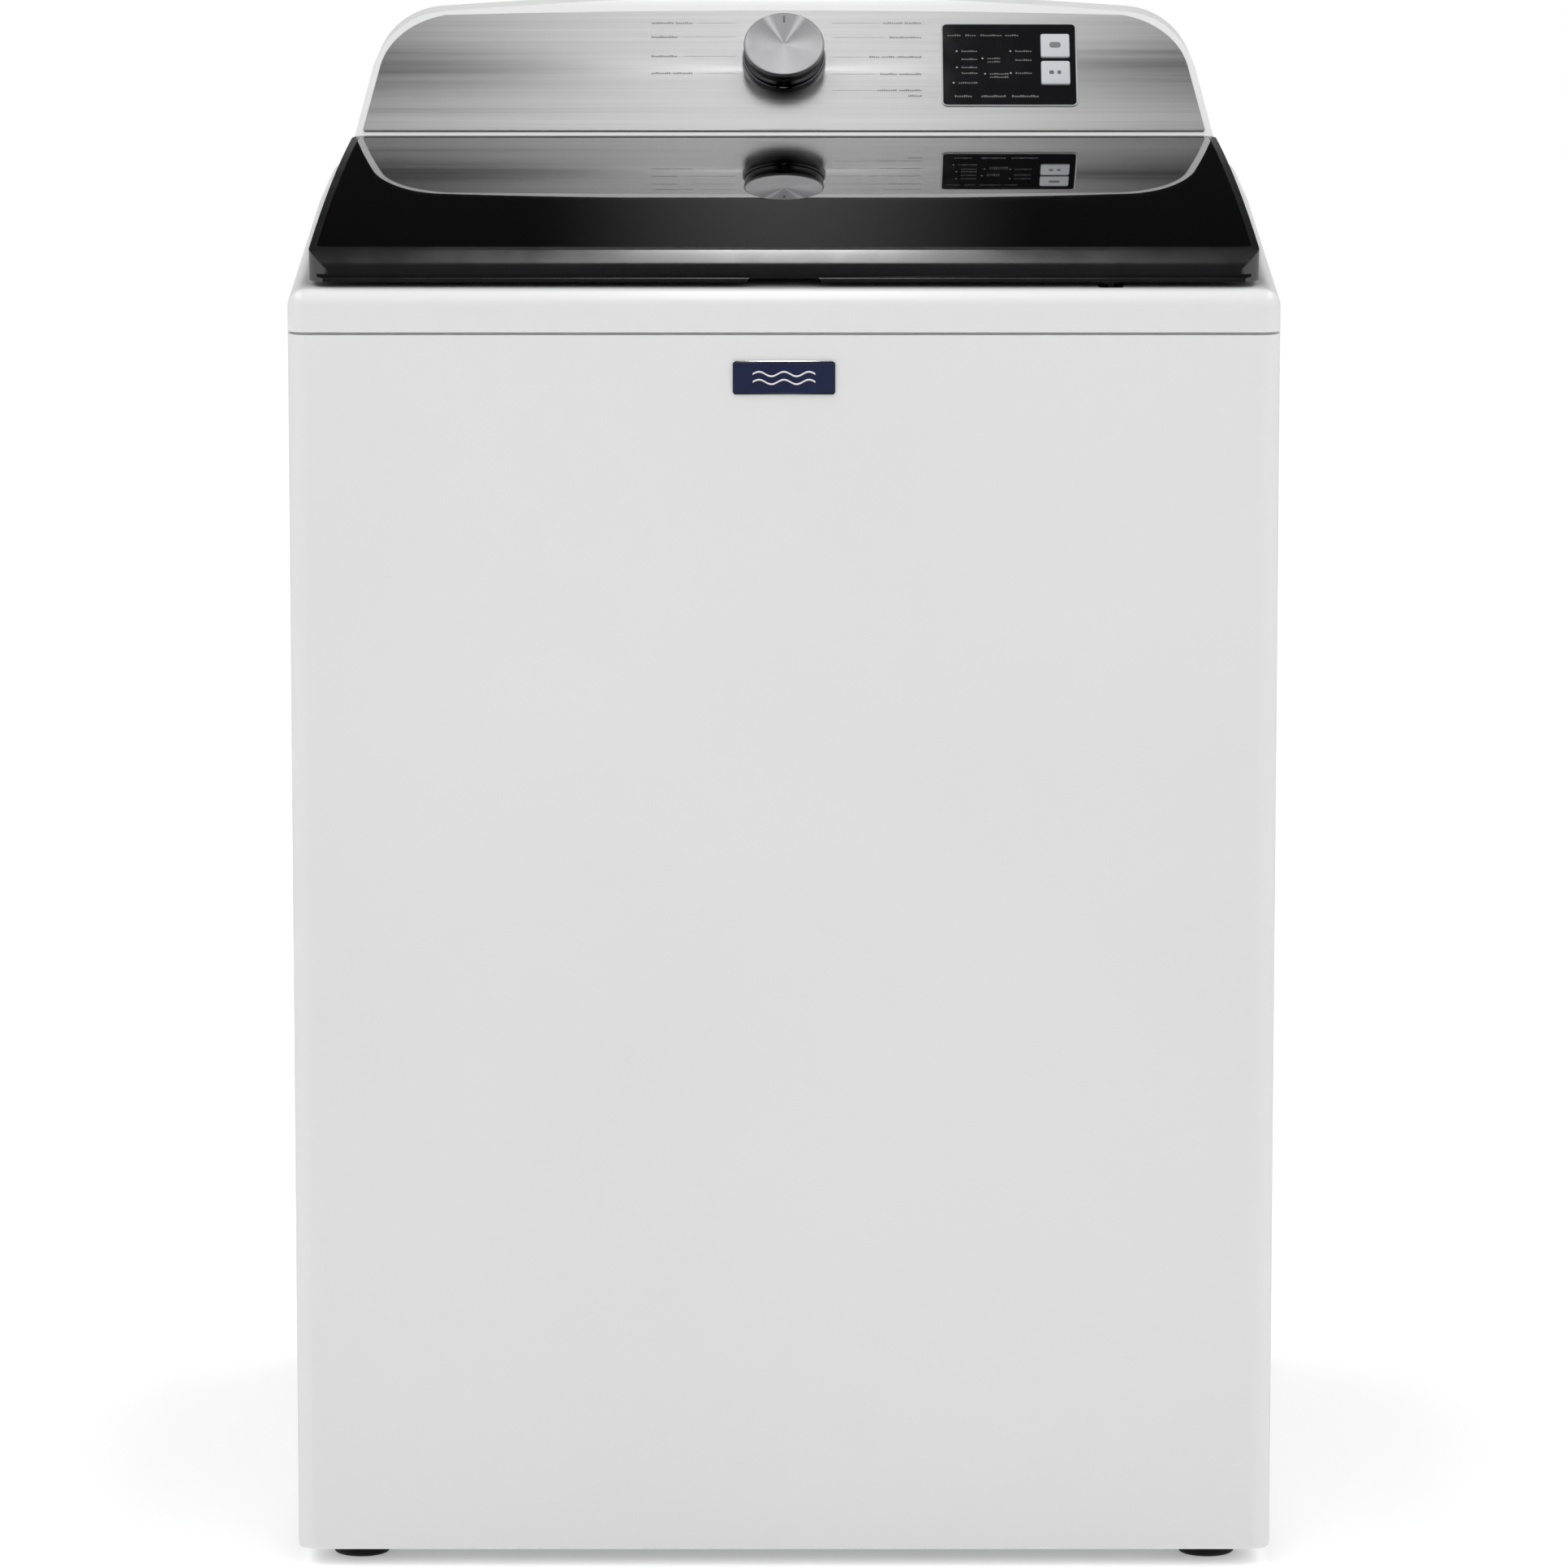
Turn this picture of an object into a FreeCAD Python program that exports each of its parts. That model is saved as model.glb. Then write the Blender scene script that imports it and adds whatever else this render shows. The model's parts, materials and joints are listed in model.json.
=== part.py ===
"""A top load washing machine as an assembly of separate pieces, in millimetres.

+Z is up, the front faces -Y, and the origin is on the floor under the middle of the machine.
"""
import FreeCAD, Part
import math
import os
from FreeCAD import Vector

# ---------------------------------------------------------------- driving dimensions
WIDTH = 698.0
FRONT_Y = -352.0
REAR_Y = 318.0
OVERALL_REAR_Y = 354.0
SHEET = 1.2
GROUND_GAP = 12.0
RIM_FLANGE = 15.0
FOOT_FLANGE = 20.0
REAR_FLANGE = 19.0
GUSSET = 104.0
GUSSET_LIP = 20.0
CABINET_TOP = 890.0
SEAM_GAP = 2.0
CORNER_R = 14.0

DECK_FRONT_Z = 921.0
DECK_REAR_Z = 941.0
DECK_FLAT_FROM_Y = 115.0
DECK_WALL = 1.5
DECK_EDGE_R = 12.0
MOUTH_HALF_X = 262.0
MOUTH_FRONT_Y = -290.0
MOUTH_REAR_Y = 104.0
MOUTH_R = 70.0

LID_FRONT_Y = -336.0
LID_REAR_Y = 158.0
LID_FRONT_HALF = 335.0
LID_REAR_HALF = 325.0
LID_FRONT_Z = 946.0
LID_REAR_Z = 978.0
LID_CROWN = 6.0
LID_GAP = 3.0
LID_BORDER = 5.0
LID_CORNER_R = 14.0
NOSE_R = 14.0
GROOVE_DROP = 14.8
GROOVE = 2.4
LOCK_X = 230.0
LOCK_Y = -322.0
LOCK_Z = 911.0
BOLT = 7.0
GLASS = 4.0
GLASS_FRONT_Y = -316.0
GLASS_REAR_Y = 150.0
HINGE_Y = 140.0
HINGE_Z = 964.0
HINGE_X = 250.0
PIN_R = 3.0
RUNNING = 0.05

CONSOLE_FRONT_Y = 164.0
CONSOLE_FRONT_Z = 977.0
CONSOLE_TOP_Z = 1072.0
CONSOLE_WALL = 2.5
FASCIA_TILT = 45.0
FASCIA_THICK = 0.8
KNOB_L = 74.0
KNOB_R = 30.5
KNOB_HEIGHT = 20.0
KNOB_SEAT = 16.6
SPINDLE_R = 3.0
WINDOW_X = 171.0
WINDOW_L = 69.0
WINDOW_W = 102.0
WINDOW_H = 80.0
BUTTON_X = 206.0
BUTTON_W = 22.0
BUTTON_H = 23.0
BUTTON_LS = (60.5, 87.0)

TUB_Y = -17.0
TUB_R = 300.0
TUB_WALL = 4.0
TUB_FLOOR = 205.0
TUB_TOP = 850.0
BASKET_R = 275.0
BASKET_FLOOR = 262.0
BASKET_TOP = 788.0
HUB_R = 48.0
BEARING_R = 31.0
SPIN_TUBE_R = 17.5
SHAFT_R = 10.95
PULLEY_SEAT_R = 105.0
MOTOR_SEAT_R = 21.0
MOTOR_X = -165.0
ROTOR_SHAFT_R = 6.0
BELT_Z = 64.0
BELT_W = 12.0
BELT_THICK = 4.0
PUMP_X = -150.0
PUMP_Y = 118.0
PUMP_SHAFT_R = 3.0
SPOUT_Z = 166.0
ROD_X = 285.0
ROD_DY = 270.0
ROD_R = 4.0
EAR_Z = 352.0
SPRING_LOW_Z = 258.0
SPRING_HIGH_Z = 330.0
BRACKET_Z = 862.0
FOOT_X = 305.0
FOOT_YS = (-305.0, 271.0)
NUT_FLATS = 17.0
STUD_R = 5.0
SCREW_R = 2.0
DRAIN_X = -232.0
DRAIN_Z = 778.0
VALVE_X = -200.0
VALVE_Y = 285.0
VALVE_Z = 985.0
PORT_DX = 26.0
COIL_DX = 22.0
PORT_R = 13.2
BADGE_Z = 860.0
BADGE_HALF_W = 36.5
BADGE_HALF_H = 12.0
BADGE_THICK = 2.0

HALF = WIDTH / 2
X_AXIS, Y_AXIS, Z_AXIS = Vector(1, 0, 0), Vector(0, 1, 0), Vector(0, 0, 1)
FOOT_PLACES = [(x, y) for x in (-FOOT_X, FOOT_X) for y in FOOT_YS]
ROD_PLACES = [(sx * ROD_X, TUB_Y + sy * ROD_DY) for sy in (-1, 1) for sx in (-1, 1)]
PANEL_SCREWS = [(side * 339, z) for side in (-1, 1) for z in (60, 260, 460, 660, 850)]
COVER_SCREWS = [(side * x, z) for side in (-1, 1) for x, z in ((285, 955), (285, 1030), (95, 955))]


# ---------------------------------------------------------------- helpers
def box(x0, x1, y0, y1, z0, z1):
    return Part.makeBox(x1 - x0, y1 - y0, z1 - z0, Vector(x0, y0, z0))


def cylinder(r, z0, z1, x=0.0, y=0.0):
    return Part.makeCylinder(r, z1 - z0, Vector(x, y, z0), Z_AXIS)


def tube(outer, inner, z0, z1, x=0.0, y=0.0):
    return cylinder(outer, z0, z1, x, y).cut(cylinder(inner, z0 - 1, z1 + 1, x, y))


def rod_along(axis, r, start, length):
    return Part.makeCylinder(r, length, Vector(*start), axis)


def fuse(first, *others):
    return first.fuse(list(others)).removeSplitter()


def cut(first, *others):
    return first.cut(list(others))


def prism_x(points, half):
    """Extrude a closed outline given as (y, z) points along X, from -half to half."""
    wire = Part.makePolygon([Vector(-half, y, z) for y, z in points + points[:1]])
    return Part.Face(wire).extrude(Vector(2 * half, 0, 0))


def prism_z(points, z0, z1):
    """Extrude a closed outline given as (x, y) points along Z."""
    wire = Part.makePolygon([Vector(x, y, z0) for x, y in points + points[:1]])
    return Part.Face(wire).extrude(Vector(0, 0, z1 - z0))


def revolve(points, y=TUB_Y):
    """Turn a closed outline given as (r, z) points a full circle about the tub's axis."""
    wire = Part.makePolygon([Vector(r, y, z) for r, z in points + points[:1]])
    return Part.Face(wire).revolve(Vector(0, y, 0), Z_AXIS, 360)


def fillet_where(shape, radius, wanted):
    """Round the edges whose middle point and direction make wanted(middle, direction) true."""
    edges = []
    for e in shape.Edges:
        middle = e.valueAt((e.FirstParameter + e.LastParameter) / 2)
        way = (e.Vertexes[-1].Point - e.Vertexes[0].Point)
        if way.Length > 1e-6:
            way.normalize()
        if wanted(middle, way):
            edges.append(e)
    return shape.makeFillet(radius, edges)


def rounded_box(x0, x1, y0, y1, z0, z1, r):
    """A block whose four upright edges are rounded."""
    return fillet_where(box(x0, x1, y0, y1, z0, z1), r, lambda m, w: abs(w.z) > 0.99)


def hexagon(across_flats, z0, z1, x, y):
    r = across_flats / math.sqrt(3)
    turn = [math.radians(60 * k) for k in range(6)]
    return prism_z([(x + r * math.cos(a), y + r * math.sin(a)) for a in turn], z0, z1)


def mirrored(shape):
    return shape.mirror(Vector(0, 0, 0), X_AXIS)


def both_sides(shape):
    return Part.makeCompound([shape, mirrored(shape)])


def on_fascia(shape):
    """Carry a shape drawn with x across, y up the slope and z off the face onto the console's face."""
    shape = shape.copy()
    shape.rotate(Vector(0, 0, 0), X_AXIS, FASCIA_TILT)
    shape.translate(Vector(0, CONSOLE_FRONT_Y, CONSOLE_FRONT_Z))
    return shape


def routed(points, radius):
    """A round bar along straight runs joined by tangent arcs, as large as the runs leave room for."""
    pts = [Vector(*p) for p in points]
    edges, last = [], pts[0]
    for a, b, c in zip(pts, pts[1:], pts[2:]):
        way_in, way_out = (b - a), (c - b)
        short = min(way_in.Length, way_out.Length)
        way_in.normalize()
        way_out.normalize()
        turn = way_in.getAngle(way_out)
        trim = 0.45 * short
        start, end = b - way_in * trim, b + way_out * trim
        bend = trim / math.tan(turn / 2)
        to_centre = (way_out - way_in)
        to_centre.normalize()
        centre = b + to_centre * math.hypot(bend, trim)
        middle = centre - to_centre * bend
        if (start - last).Length > 1e-6:
            edges.append(Part.LineSegment(last, start).toShape())
        edges.append(Part.Arc(start, middle, end).toShape())
        last = end
    edges.append(Part.LineSegment(last, pts[-1]).toShape())
    spine = Part.Wire(edges)
    way = pts[1] - pts[0]
    ring = Part.Wire(Part.makeCircle(radius, pts[0], way))
    return spine.makePipeShell([ring], True, False)


def hollow_route(points, outer, inner):
    return routed(points, outer).cut(routed(points, inner))


def arc_z(y, front_y, front_z, rear_y, rear_z, crown):
    """Height of a crowned line from front to rear: a chord with a parabolic rise of crown at its middle."""
    t = (y - front_y) / (rear_y - front_y)
    return front_z + (rear_z - front_z) * t + 4 * crown * t * (1 - t)


def lid_top(y):
    return arc_z(y, LID_FRONT_Y, LID_FRONT_Z, LID_REAR_Y, LID_REAR_Z, LID_CROWN)


def deck_z(y):
    t = min(1.0, (y - FRONT_Y) / (DECK_FLAT_FROM_Y - FRONT_Y))
    return DECK_FRONT_Z + (DECK_REAR_Z - DECK_FRONT_Z) * t


def crowned_slab(half, drop_top, drop_bottom):
    """A curved slab under the lid's top surface, between two depths below it, longer than the lid."""
    def line(drop, x):
        ys = (LID_FRONT_Y - 20, (LID_FRONT_Y + LID_REAR_Y) / 2, LID_REAR_Y + 20)
        return [Vector(x, y, lid_top(y) - drop) for y in ys]

    top, low = line(drop_top, -half), line(drop_bottom, -half)
    edges = [
        Part.Arc(*top).toShape(),
        Part.LineSegment(top[2], low[2]).toShape(),
        Part.Arc(*low[::-1]).toShape(),
        Part.LineSegment(low[0], top[0]).toShape(),
    ]
    return Part.Face(Part.Wire(edges)).extrude(Vector(2 * half, 0, 0))


def lid_plan(inset, front_y, rear_y, corner, z0=880.0, z1=1000.0):
    """The lid's outline seen from above as an upright block, drawn in by inset."""
    def half(y):
        t = (y - LID_FRONT_Y) / (LID_REAR_Y - LID_FRONT_Y)
        return LID_FRONT_HALF + (LID_REAR_HALF - LID_FRONT_HALF) * t - inset

    f, r = half(front_y), half(rear_y)
    block = prism_z([(-f, front_y), (f, front_y), (r, rear_y), (-r, rear_y)], z0, z1)
    return fillet_where(block, corner, lambda m, w: abs(w.z) > 0.99)


# ---------------------------------------------------------------- cabinet
def cabinet_block(inset, z0, z1, corner, edge):
    """The cabinet's outer block, with rounded front corners and bottom and top bends."""
    block = box(-HALF + inset, HALF - inset, FRONT_Y + inset, REAR_Y + 60, z0, z1)
    block = fillet_where(block, corner, lambda m, w: abs(w.z) > 0.99 and m.y < 0)
    return fillet_where(block, edge, lambda m, w: abs(m.z - z0) < 0.01 and m.y < REAR_Y + 50)


def suspension_gusset(side, end, way):
    """A corner plate under the cabinet's rim, with a hem, that a suspension rod hangs from."""
    wall, far = side * (HALF - SHEET), side * (HALF - SHEET - GUSSET)
    near = side * (HALF - SHEET - GUSSET_LIP)
    lip, edge, hem = end + way * GUSSET_LIP, end + way * GUSSET, 3.0
    plate = prism_z([(wall, end), (far, end), (far, lip), (near, edge), (wall, edge)],
                    BRACKET_Z, BRACKET_Z + 4)
    hem = prism_z([(far, lip), (near, edge), (near, edge - way * hem), (far + side * hem, lip)],
                  BRACKET_Z - 14, BRACKET_Z)
    inside = cabinet_block(SHEET / 2, GROUND_GAP, CABINET_TOP, CORNER_R - SHEET / 2, 2.4)
    return fuse(plate, hem).common(inside)


def cabinet_wrap():
    """Front and sides in one bent sheet, with its flanges and the four corner plates."""
    outer = cabinet_block(0, GROUND_GAP, CABINET_TOP, CORNER_R, 3.0)
    inner = cabinet_block(SHEET, GROUND_GAP + SHEET, CABINET_TOP - SHEET, CORNER_R - SHEET, 1.8)
    shell = outer.cut(inner)
    shell = shell.cut(box(-HALF - 1, HALF + 1, REAR_Y, REAR_Y + 90, 0, 1000))
    rim = rounded_box(-HALF + RIM_FLANGE, HALF - RIM_FLANGE, FRONT_Y + RIM_FLANGE, REAR_Y + 50,
                      CABINET_TOP - 5, CABINET_TOP + 5, 6)
    foot = rounded_box(-HALF + FOOT_FLANGE, HALF - FOOT_FLANGE, FRONT_Y + FOOT_FLANGE, REAR_Y + 50,
                       GROUND_GAP - 5, GROUND_GAP + 5, 6)
    shell = cut(shell, rim, foot)
    flange = box(HALF - REAR_FLANGE, HALF - SHEET / 2, REAR_Y - SHEET, REAR_Y,
                 GROUND_GAP + SHEET / 2, CABINET_TOP - SHEET / 2)
    gussets = [suspension_gusset(side, end, way) for side in (-1, 1)
               for end, way in ((FRONT_Y + SHEET, 1), (REAR_Y - SHEET, -1))]
    sockets = [cylinder(8.5, BRACKET_Z - 20, BRACKET_Z + 9, x, y) for x, y in ROD_PLACES]
    return cut(fuse(shell, flange, mirrored(flange), *gussets), *sockets)


def rear_panel():
    """Galvanised back sheet with pressed ribs and air slots, standing outside the rear flanges."""
    panel = box(-HALF + 3, HALF - 3, REAR_Y, REAR_Y + SHEET, GROUND_GAP + 4, CABINET_TOP - 4)
    half, tall, proud, bend = 230.0, 44.0, 6.0, 5.0
    for z in (160, 300, 440, 580):
        rib = fillet_where(box(-half, half, REAR_Y - 1, REAR_Y + proud, z, z + tall), bend,
                           lambda m, w: m.y > REAR_Y + proud - 1)
        bed = fillet_where(box(-half + SHEET, half - SHEET, REAR_Y - 2, REAR_Y + proud - SHEET,
                               z + SHEET, z + tall - SHEET), bend - SHEET,
                           lambda m, w: m.y > REAR_Y + proud - 2)
        panel = panel.fuse(rib.common(box(-400, 400, REAR_Y, REAR_Y + 9, 0, 900))).cut(bed)
    outlet = rod_along(Y_AXIS, 15.5, (DRAIN_X, REAR_Y - 5, DRAIN_Z), 20)
    slots = [box(x, x + 46, REAR_Y - 5, REAR_Y + 5, CABINET_TOP - drop, CABINET_TOP - drop + 5)
             for drop in (60, 76, 92) for x in (60, 120, 180)]
    return cut(panel, outlet, *slots).removeSplitter()


def base_frame():
    """Bottom plate with an upturned wall round its opening, standing on the wrap's lower flange."""
    z, plate_t, wall_t, wall_h = GROUND_GAP + SHEET, 2.0, 2.0, 28.0
    out_x, out_f, out_r = HALF - SHEET - 3, FRONT_Y + SHEET + 3, REAR_Y - SHEET
    in_x, in_f, in_r = 272.0, -278.0, 244.0
    plate = rounded_box(-out_x, out_x, out_f, out_r, z, z + plate_t, 12)
    wall = rounded_box(-in_x - wall_t, in_x + wall_t, in_f - wall_t, in_r + wall_t, z, z + wall_h, 20)
    hole = rounded_box(-in_x, in_x, in_f, in_r, z - 2, z + wall_h + 12, 18)
    studs = [cylinder(STUD_R + RUNNING, z - 2, z + 4, x, y) for x, y in FOOT_PLACES]
    return cut(fuse(plate, wall), hole, *studs)


def leveling_foot(x, y):
    """A stud with a hex collar on a round pad."""
    pad_t, collar_top, stud_top = 5.0, 9.0, 56.0
    pad = Part.makeCone(20, 16, pad_t, Vector(x, y, 0), Z_AXIS)
    collar = hexagon(NUT_FLATS, pad_t, collar_top, x, y)
    return fuse(pad, collar, cylinder(STUD_R, collar_top, stud_top, x, y))


def foot_lock_nuts():
    z = GROUND_GAP + SHEET + 2
    return Part.makeCompound([hexagon(NUT_FLATS, z, z + 8, x, y).cut(
        cylinder(STUD_R + RUNNING, z - 1, z + 9, x, y)) for x, y in FOOT_PLACES])


def hex_screw(x, z, y):
    """A sheet metal screw seen from behind: hex head on a washer."""
    washer_t, head_t = 1.2, 4.0
    screw = fuse(hexagon(8, 0, head_t, 0, 0), cylinder(6.5, -washer_t, 0),
                 cylinder(SCREW_R, -washer_t - SHEET, -washer_t))
    screw.rotate(Vector(0, 0, 0), X_AXIS, -90)
    screw.translate(Vector(x, y + washer_t, z))
    return screw


def rear_screws():
    screws = [hex_screw(x, z, REAR_Y + SHEET) for x, z in PANEL_SCREWS]
    return Part.makeCompound(screws + [hex_screw(x, z, REAR_Y) for x, z in COVER_SCREWS])


def screw_holes(shape, places, y):
    return cut(shape, *[rod_along(Y_AXIS, SCREW_R, (x, y - 3, z), 6) for x, z in places])


def front_badge():
    """Plain oblong plate."""
    y = FRONT_Y - BADGE_THICK
    plate = box(-BADGE_HALF_W, BADGE_HALF_W, y, FRONT_Y, BADGE_Z - BADGE_HALF_H, BADGE_Z + BADGE_HALF_H)
    plate = fillet_where(plate, 2.5, lambda m, w: abs(w.y) > 0.99)
    return fillet_where(plate, 0.6, lambda m, w: m.y < y + 0.01)


# ---------------------------------------------------------------- top deck
def deck_block(inset, radius, z0):
    """The deck's block: low at the front, level under the console, rounded on its upper edges."""
    x, f, r = HALF - inset, FRONT_Y + inset, REAR_Y - inset
    pts = [(f, z0), (f, deck_z(FRONT_Y) - inset), (DECK_FLAT_FROM_Y, DECK_REAR_Z - inset),
           (r, DECK_REAR_Z - inset), (r, z0)]
    block = prism_x(pts, x)
    return fillet_where(block, radius,
                        lambda m, w: (abs(w.z) > 0.99 and m.y < 0)
                        or (m.z > z0 + 5 and m.y < f + 0.01)
                        or (abs(abs(m.x) - x) < 0.01 and m.z > z0 + 16 and abs(w.y) > 0.9))


def mouth_block(inset, z0, z1):
    return rounded_box(-MOUTH_HALF_X + inset, MOUTH_HALF_X - inset, MOUTH_FRONT_Y + inset,
                       MOUTH_REAR_Y - inset, z0, z1, MOUTH_R - inset)


def top_panel():
    z0 = CABINET_TOP + SEAM_GAP
    outer = deck_block(0, DECK_EDGE_R, z0)
    inner = deck_block(DECK_WALL, DECK_EDGE_R - DECK_WALL, z0 - 1)
    floor = rounded_box(-HALF, HALF, FRONT_Y, REAR_Y, z0, z0 + DECK_WALL, CORNER_R - 2)
    rim = rounded_box(-HALF + 4, HALF - 4, FRONT_Y + 4, REAR_Y - 4, CABINET_TOP, z0 + 1, CORNER_R - 4)
    gap = rounded_box(-HALF + 14, HALF - 14, FRONT_Y + 14, REAR_Y - 14,
                      CABINET_TOP - 1, z0 + DECK_WALL + 1, 8)
    shell = outer.cut(inner).fuse([floor.common(outer), rim]).cut(gap)
    lip_low = z0 - 2
    lip = mouth_block(-DECK_WALL, lip_low, 1000).cut(mouth_block(0, lip_low - 1, 1001)).common(
        deck_block(0, DECK_EDGE_R, lip_low - 5))
    shell = cut(shell, mouth_block(0, 800, 1000)).fuse(lip)
    slot = rounded_box(LOCK_X - 9, LOCK_X + 9, LOCK_Y - 14, LOCK_Y + 14, 900, 960, 3)
    pipe = cylinder(11.6, 900, 960, VALVE_X, VALVE_Y)
    return cut(shell, slot, pipe).removeSplitter()


def under_deck():
    """The space inside the deck's shell, used to trim what is fixed under it."""
    return deck_block(DECK_WALL, DECK_EDGE_R - DECK_WALL, CABINET_TOP - 60)


# ---------------------------------------------------------------- lid
def lid_underside():
    """Block below the lid: everything lower than its underside, to cut away."""
    near = deck_z(LID_FRONT_Y) + LID_GAP
    pts = [(LID_FRONT_Y - 20, near), (DECK_FLAT_FROM_Y - 5, DECK_REAR_Z + LID_GAP),
           (LID_REAR_Y + 20, LID_REAR_Z - 17), (LID_REAR_Y + 20, 850), (LID_FRONT_Y - 20, 850)]
    return prism_x(pts, 400)


def hinge_notch():
    return box(HINGE_X - 22, HINGE_X + 22, HINGE_Y - 18, LID_REAR_Y + 5, 900, HINGE_Z + 8)


def lid_nose():
    """Block that gives the lid's front bar its round nose over a shadow groove and a lower lip."""
    top, low = LID_FRONT_Z + 1, deck_z(LID_FRONT_Y) + LID_GAP - 1
    groove = LID_FRONT_Z - GROOVE_DROP
    y = LID_FRONT_Y
    nose = box(-400, 400, y, LID_REAR_Y + 30, groove, 1000).common(crowned_slab(400, 0, 90))
    nose = fillet_where(nose, NOSE_R, lambda m, w: m.y < y + 1 and m.z > top - 5 and abs(w.x) > 0.9)
    neck = box(-400, 400, y + GROOVE, LID_REAR_Y + 30, groove - GROOVE, groove)
    lip = fillet_where(box(-400, 400, y + 0.5, LID_REAR_Y + 30, low, groove - GROOVE), 1.2,
                       lambda m, w: m.y < y + 1 and m.z > low + 1 and abs(w.x) > 0.9)
    return fuse(nose, neck, lip)


def lid_frame():
    """Moulded tray: deep front bar, side rails and rear rail round a window, with hinge knuckles."""
    body = lid_nose().common(lid_plan(0, LID_FRONT_Y, LID_REAR_Y, LID_CORNER_R)).cut(lid_underside())
    pocket = crowned_slab(400, -5, GLASS + 0.1).common(
        lid_plan(LID_BORDER, GLASS_FRONT_Y, GLASS_REAR_Y, 6))
    window = rounded_box(-295, 295, -292, 92, 850, 1000, 30)
    body = cut(body, pocket, window)
    grip = fillet_where(box(-26, 26, LID_FRONT_Y - 5, LID_FRONT_Y + 16, 900, 929), 4,
                        lambda m, w: m.z > 928 and abs(w.y) > 0.9)
    body = body.cut(grip)
    notch = hinge_notch()
    body = cut(body, notch, mirrored(notch))
    knuckle = rod_along(X_AXIS, 8, (HINGE_X - 10, HINGE_Y, HINGE_Z), 20)
    web = box(HINGE_X - 10, HINGE_X + 10, HINGE_Y - 20, HINGE_Y, HINGE_Z - 7, HINGE_Z + 7)
    bore = rod_along(X_AXIS, PIN_R + RUNNING, (HINGE_X - 30, HINGE_Y, HINGE_Z), 60)
    hinge = knuckle.fuse(web)
    body = body.fuse([hinge, mirrored(hinge)])
    return cut(body, bore, mirrored(bore)).removeSplitter()


def lid_glass():
    pane = crowned_slab(400, 0, GLASS)
    return pane.common(lid_plan(LID_BORDER + 0.4, GLASS_FRONT_Y + 0.4, GLASS_REAR_Y - 0.4, 5.6))


def lid_liner():
    """Inner panel inside the frame's window, with a viewing window and a sunk pad each side."""
    plate = prism_x([(-292, deck_z(-292) + 6), (92, deck_z(92) + 6),
                     (92, deck_z(92) + 8.5), (-292, deck_z(-292) + 8.5)], 400)
    plate = plate.common(rounded_box(-294.8, 294.8, -291.8, 91.8, 900, 1000, 29.8))
    sunk = prism_x([(-300, deck_z(-300) + 7.3), (100, deck_z(100) + 7.3), (100, 1000), (-300, 1000)], 400)
    pad = rounded_box(157, 283, -266, -60, 900, 1000, 14).common(sunk)
    middle = rounded_box(-120, 120, -240, 40, 900, 1000, 30)
    return cut(plate, pad, mirrored(pad), middle)


def lid_strike():
    """Hooked plate under the lid's front bar that the lock's bolt goes through."""
    y, low, eye = LOCK_Y, LOCK_Z - 9, BOLT / 2 + 0.5
    plate = box(LOCK_X - 2, LOCK_X + 2, y - 6, y + 6, low, deck_z(y) + 12)
    plate = plate.cut(box(LOCK_X - 10, LOCK_X + 10, y - eye, y + eye, LOCK_Z - eye, LOCK_Z + eye))
    foot = box(LOCK_X - 8, LOCK_X + 8, y - 8, y + 8, deck_z(y) + LID_GAP, deck_z(y) + 8)
    return fuse(plate, foot).cut(lid_frame())


def lid_bumpers():
    """Rubber buttons that the lid rests on."""
    pads = []
    for x, y in ((150, -313), (290, -250), (290, 60)):
        pad = cylinder(6, 880, 1000, x, y).common(deck_gap_space())
        pads += [pad, mirrored(pad)]
    return Part.makeCompound([p.Solids[0] for p in pads])


def deck_gap_space():
    """The thin gap between the deck and the lid's underside."""
    return prism_x([(LID_FRONT_Y - 20, deck_z(LID_FRONT_Y) + LID_GAP), (DECK_FLAT_FROM_Y - 5,
                    DECK_REAR_Z + LID_GAP), (DECK_FLAT_FROM_Y - 5, 850), (LID_FRONT_Y - 20, 850)],
                   400).cut(prism_x([(FRONT_Y, DECK_FRONT_Z + 0.3), (DECK_FLAT_FROM_Y,
                            DECK_REAR_Z + 0.3), (DECK_FLAT_FROM_Y, 800), (FRONT_Y, 800)], 401))


def hinge_bracket():
    base = rounded_box(HINGE_X - 27, HINGE_X + 27, 124, 156, DECK_REAR_Z, DECK_REAR_Z + 1.6, 4)
    parts = []
    for x in (HINGE_X - 18.5, HINGE_X + 12.5):
        ear = box(x, x + 6, HINGE_Y - 4.8, HINGE_Y + 4.8, DECK_REAR_Z, HINGE_Z)
        parts.append(ear.fuse(rod_along(X_AXIS, 4.8, (x, HINGE_Y, HINGE_Z), 6)))
    bore = rod_along(X_AXIS, PIN_R, (HINGE_X - 30, HINGE_Y, HINGE_Z), 60)
    return fuse(base, *parts).cut(bore)


def hinge_pin():
    return rod_along(X_AXIS, PIN_R, (HINGE_X - 20, HINGE_Y, HINGE_Z), 40)


def lid_lock_housing():
    """Case of the lid lock under the deck, with the way that its bolt slides in."""
    case = rounded_box(LOCK_X - 80, LOCK_X - 10.5, LOCK_Y - 22, LOCK_Y + 22, LOCK_Z - 15, 960, 3)
    half = BOLT / 2 + RUNNING
    way = box(LOCK_X - 34, LOCK_X + 10, LOCK_Y - half, LOCK_Y + half, LOCK_Z - half, LOCK_Z + half)
    return case.common(under_deck()).cut(way)


def lid_lock_bolt():
    half, tip = BOLT / 2, LOCK_X - 5
    bolt = box(LOCK_X - 33, tip, LOCK_Y - half, LOCK_Y + half, LOCK_Z - half, LOCK_Z + half)
    return fillet_where(bolt, 1.2, lambda m, w: m.x > tip - 0.1)


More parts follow.
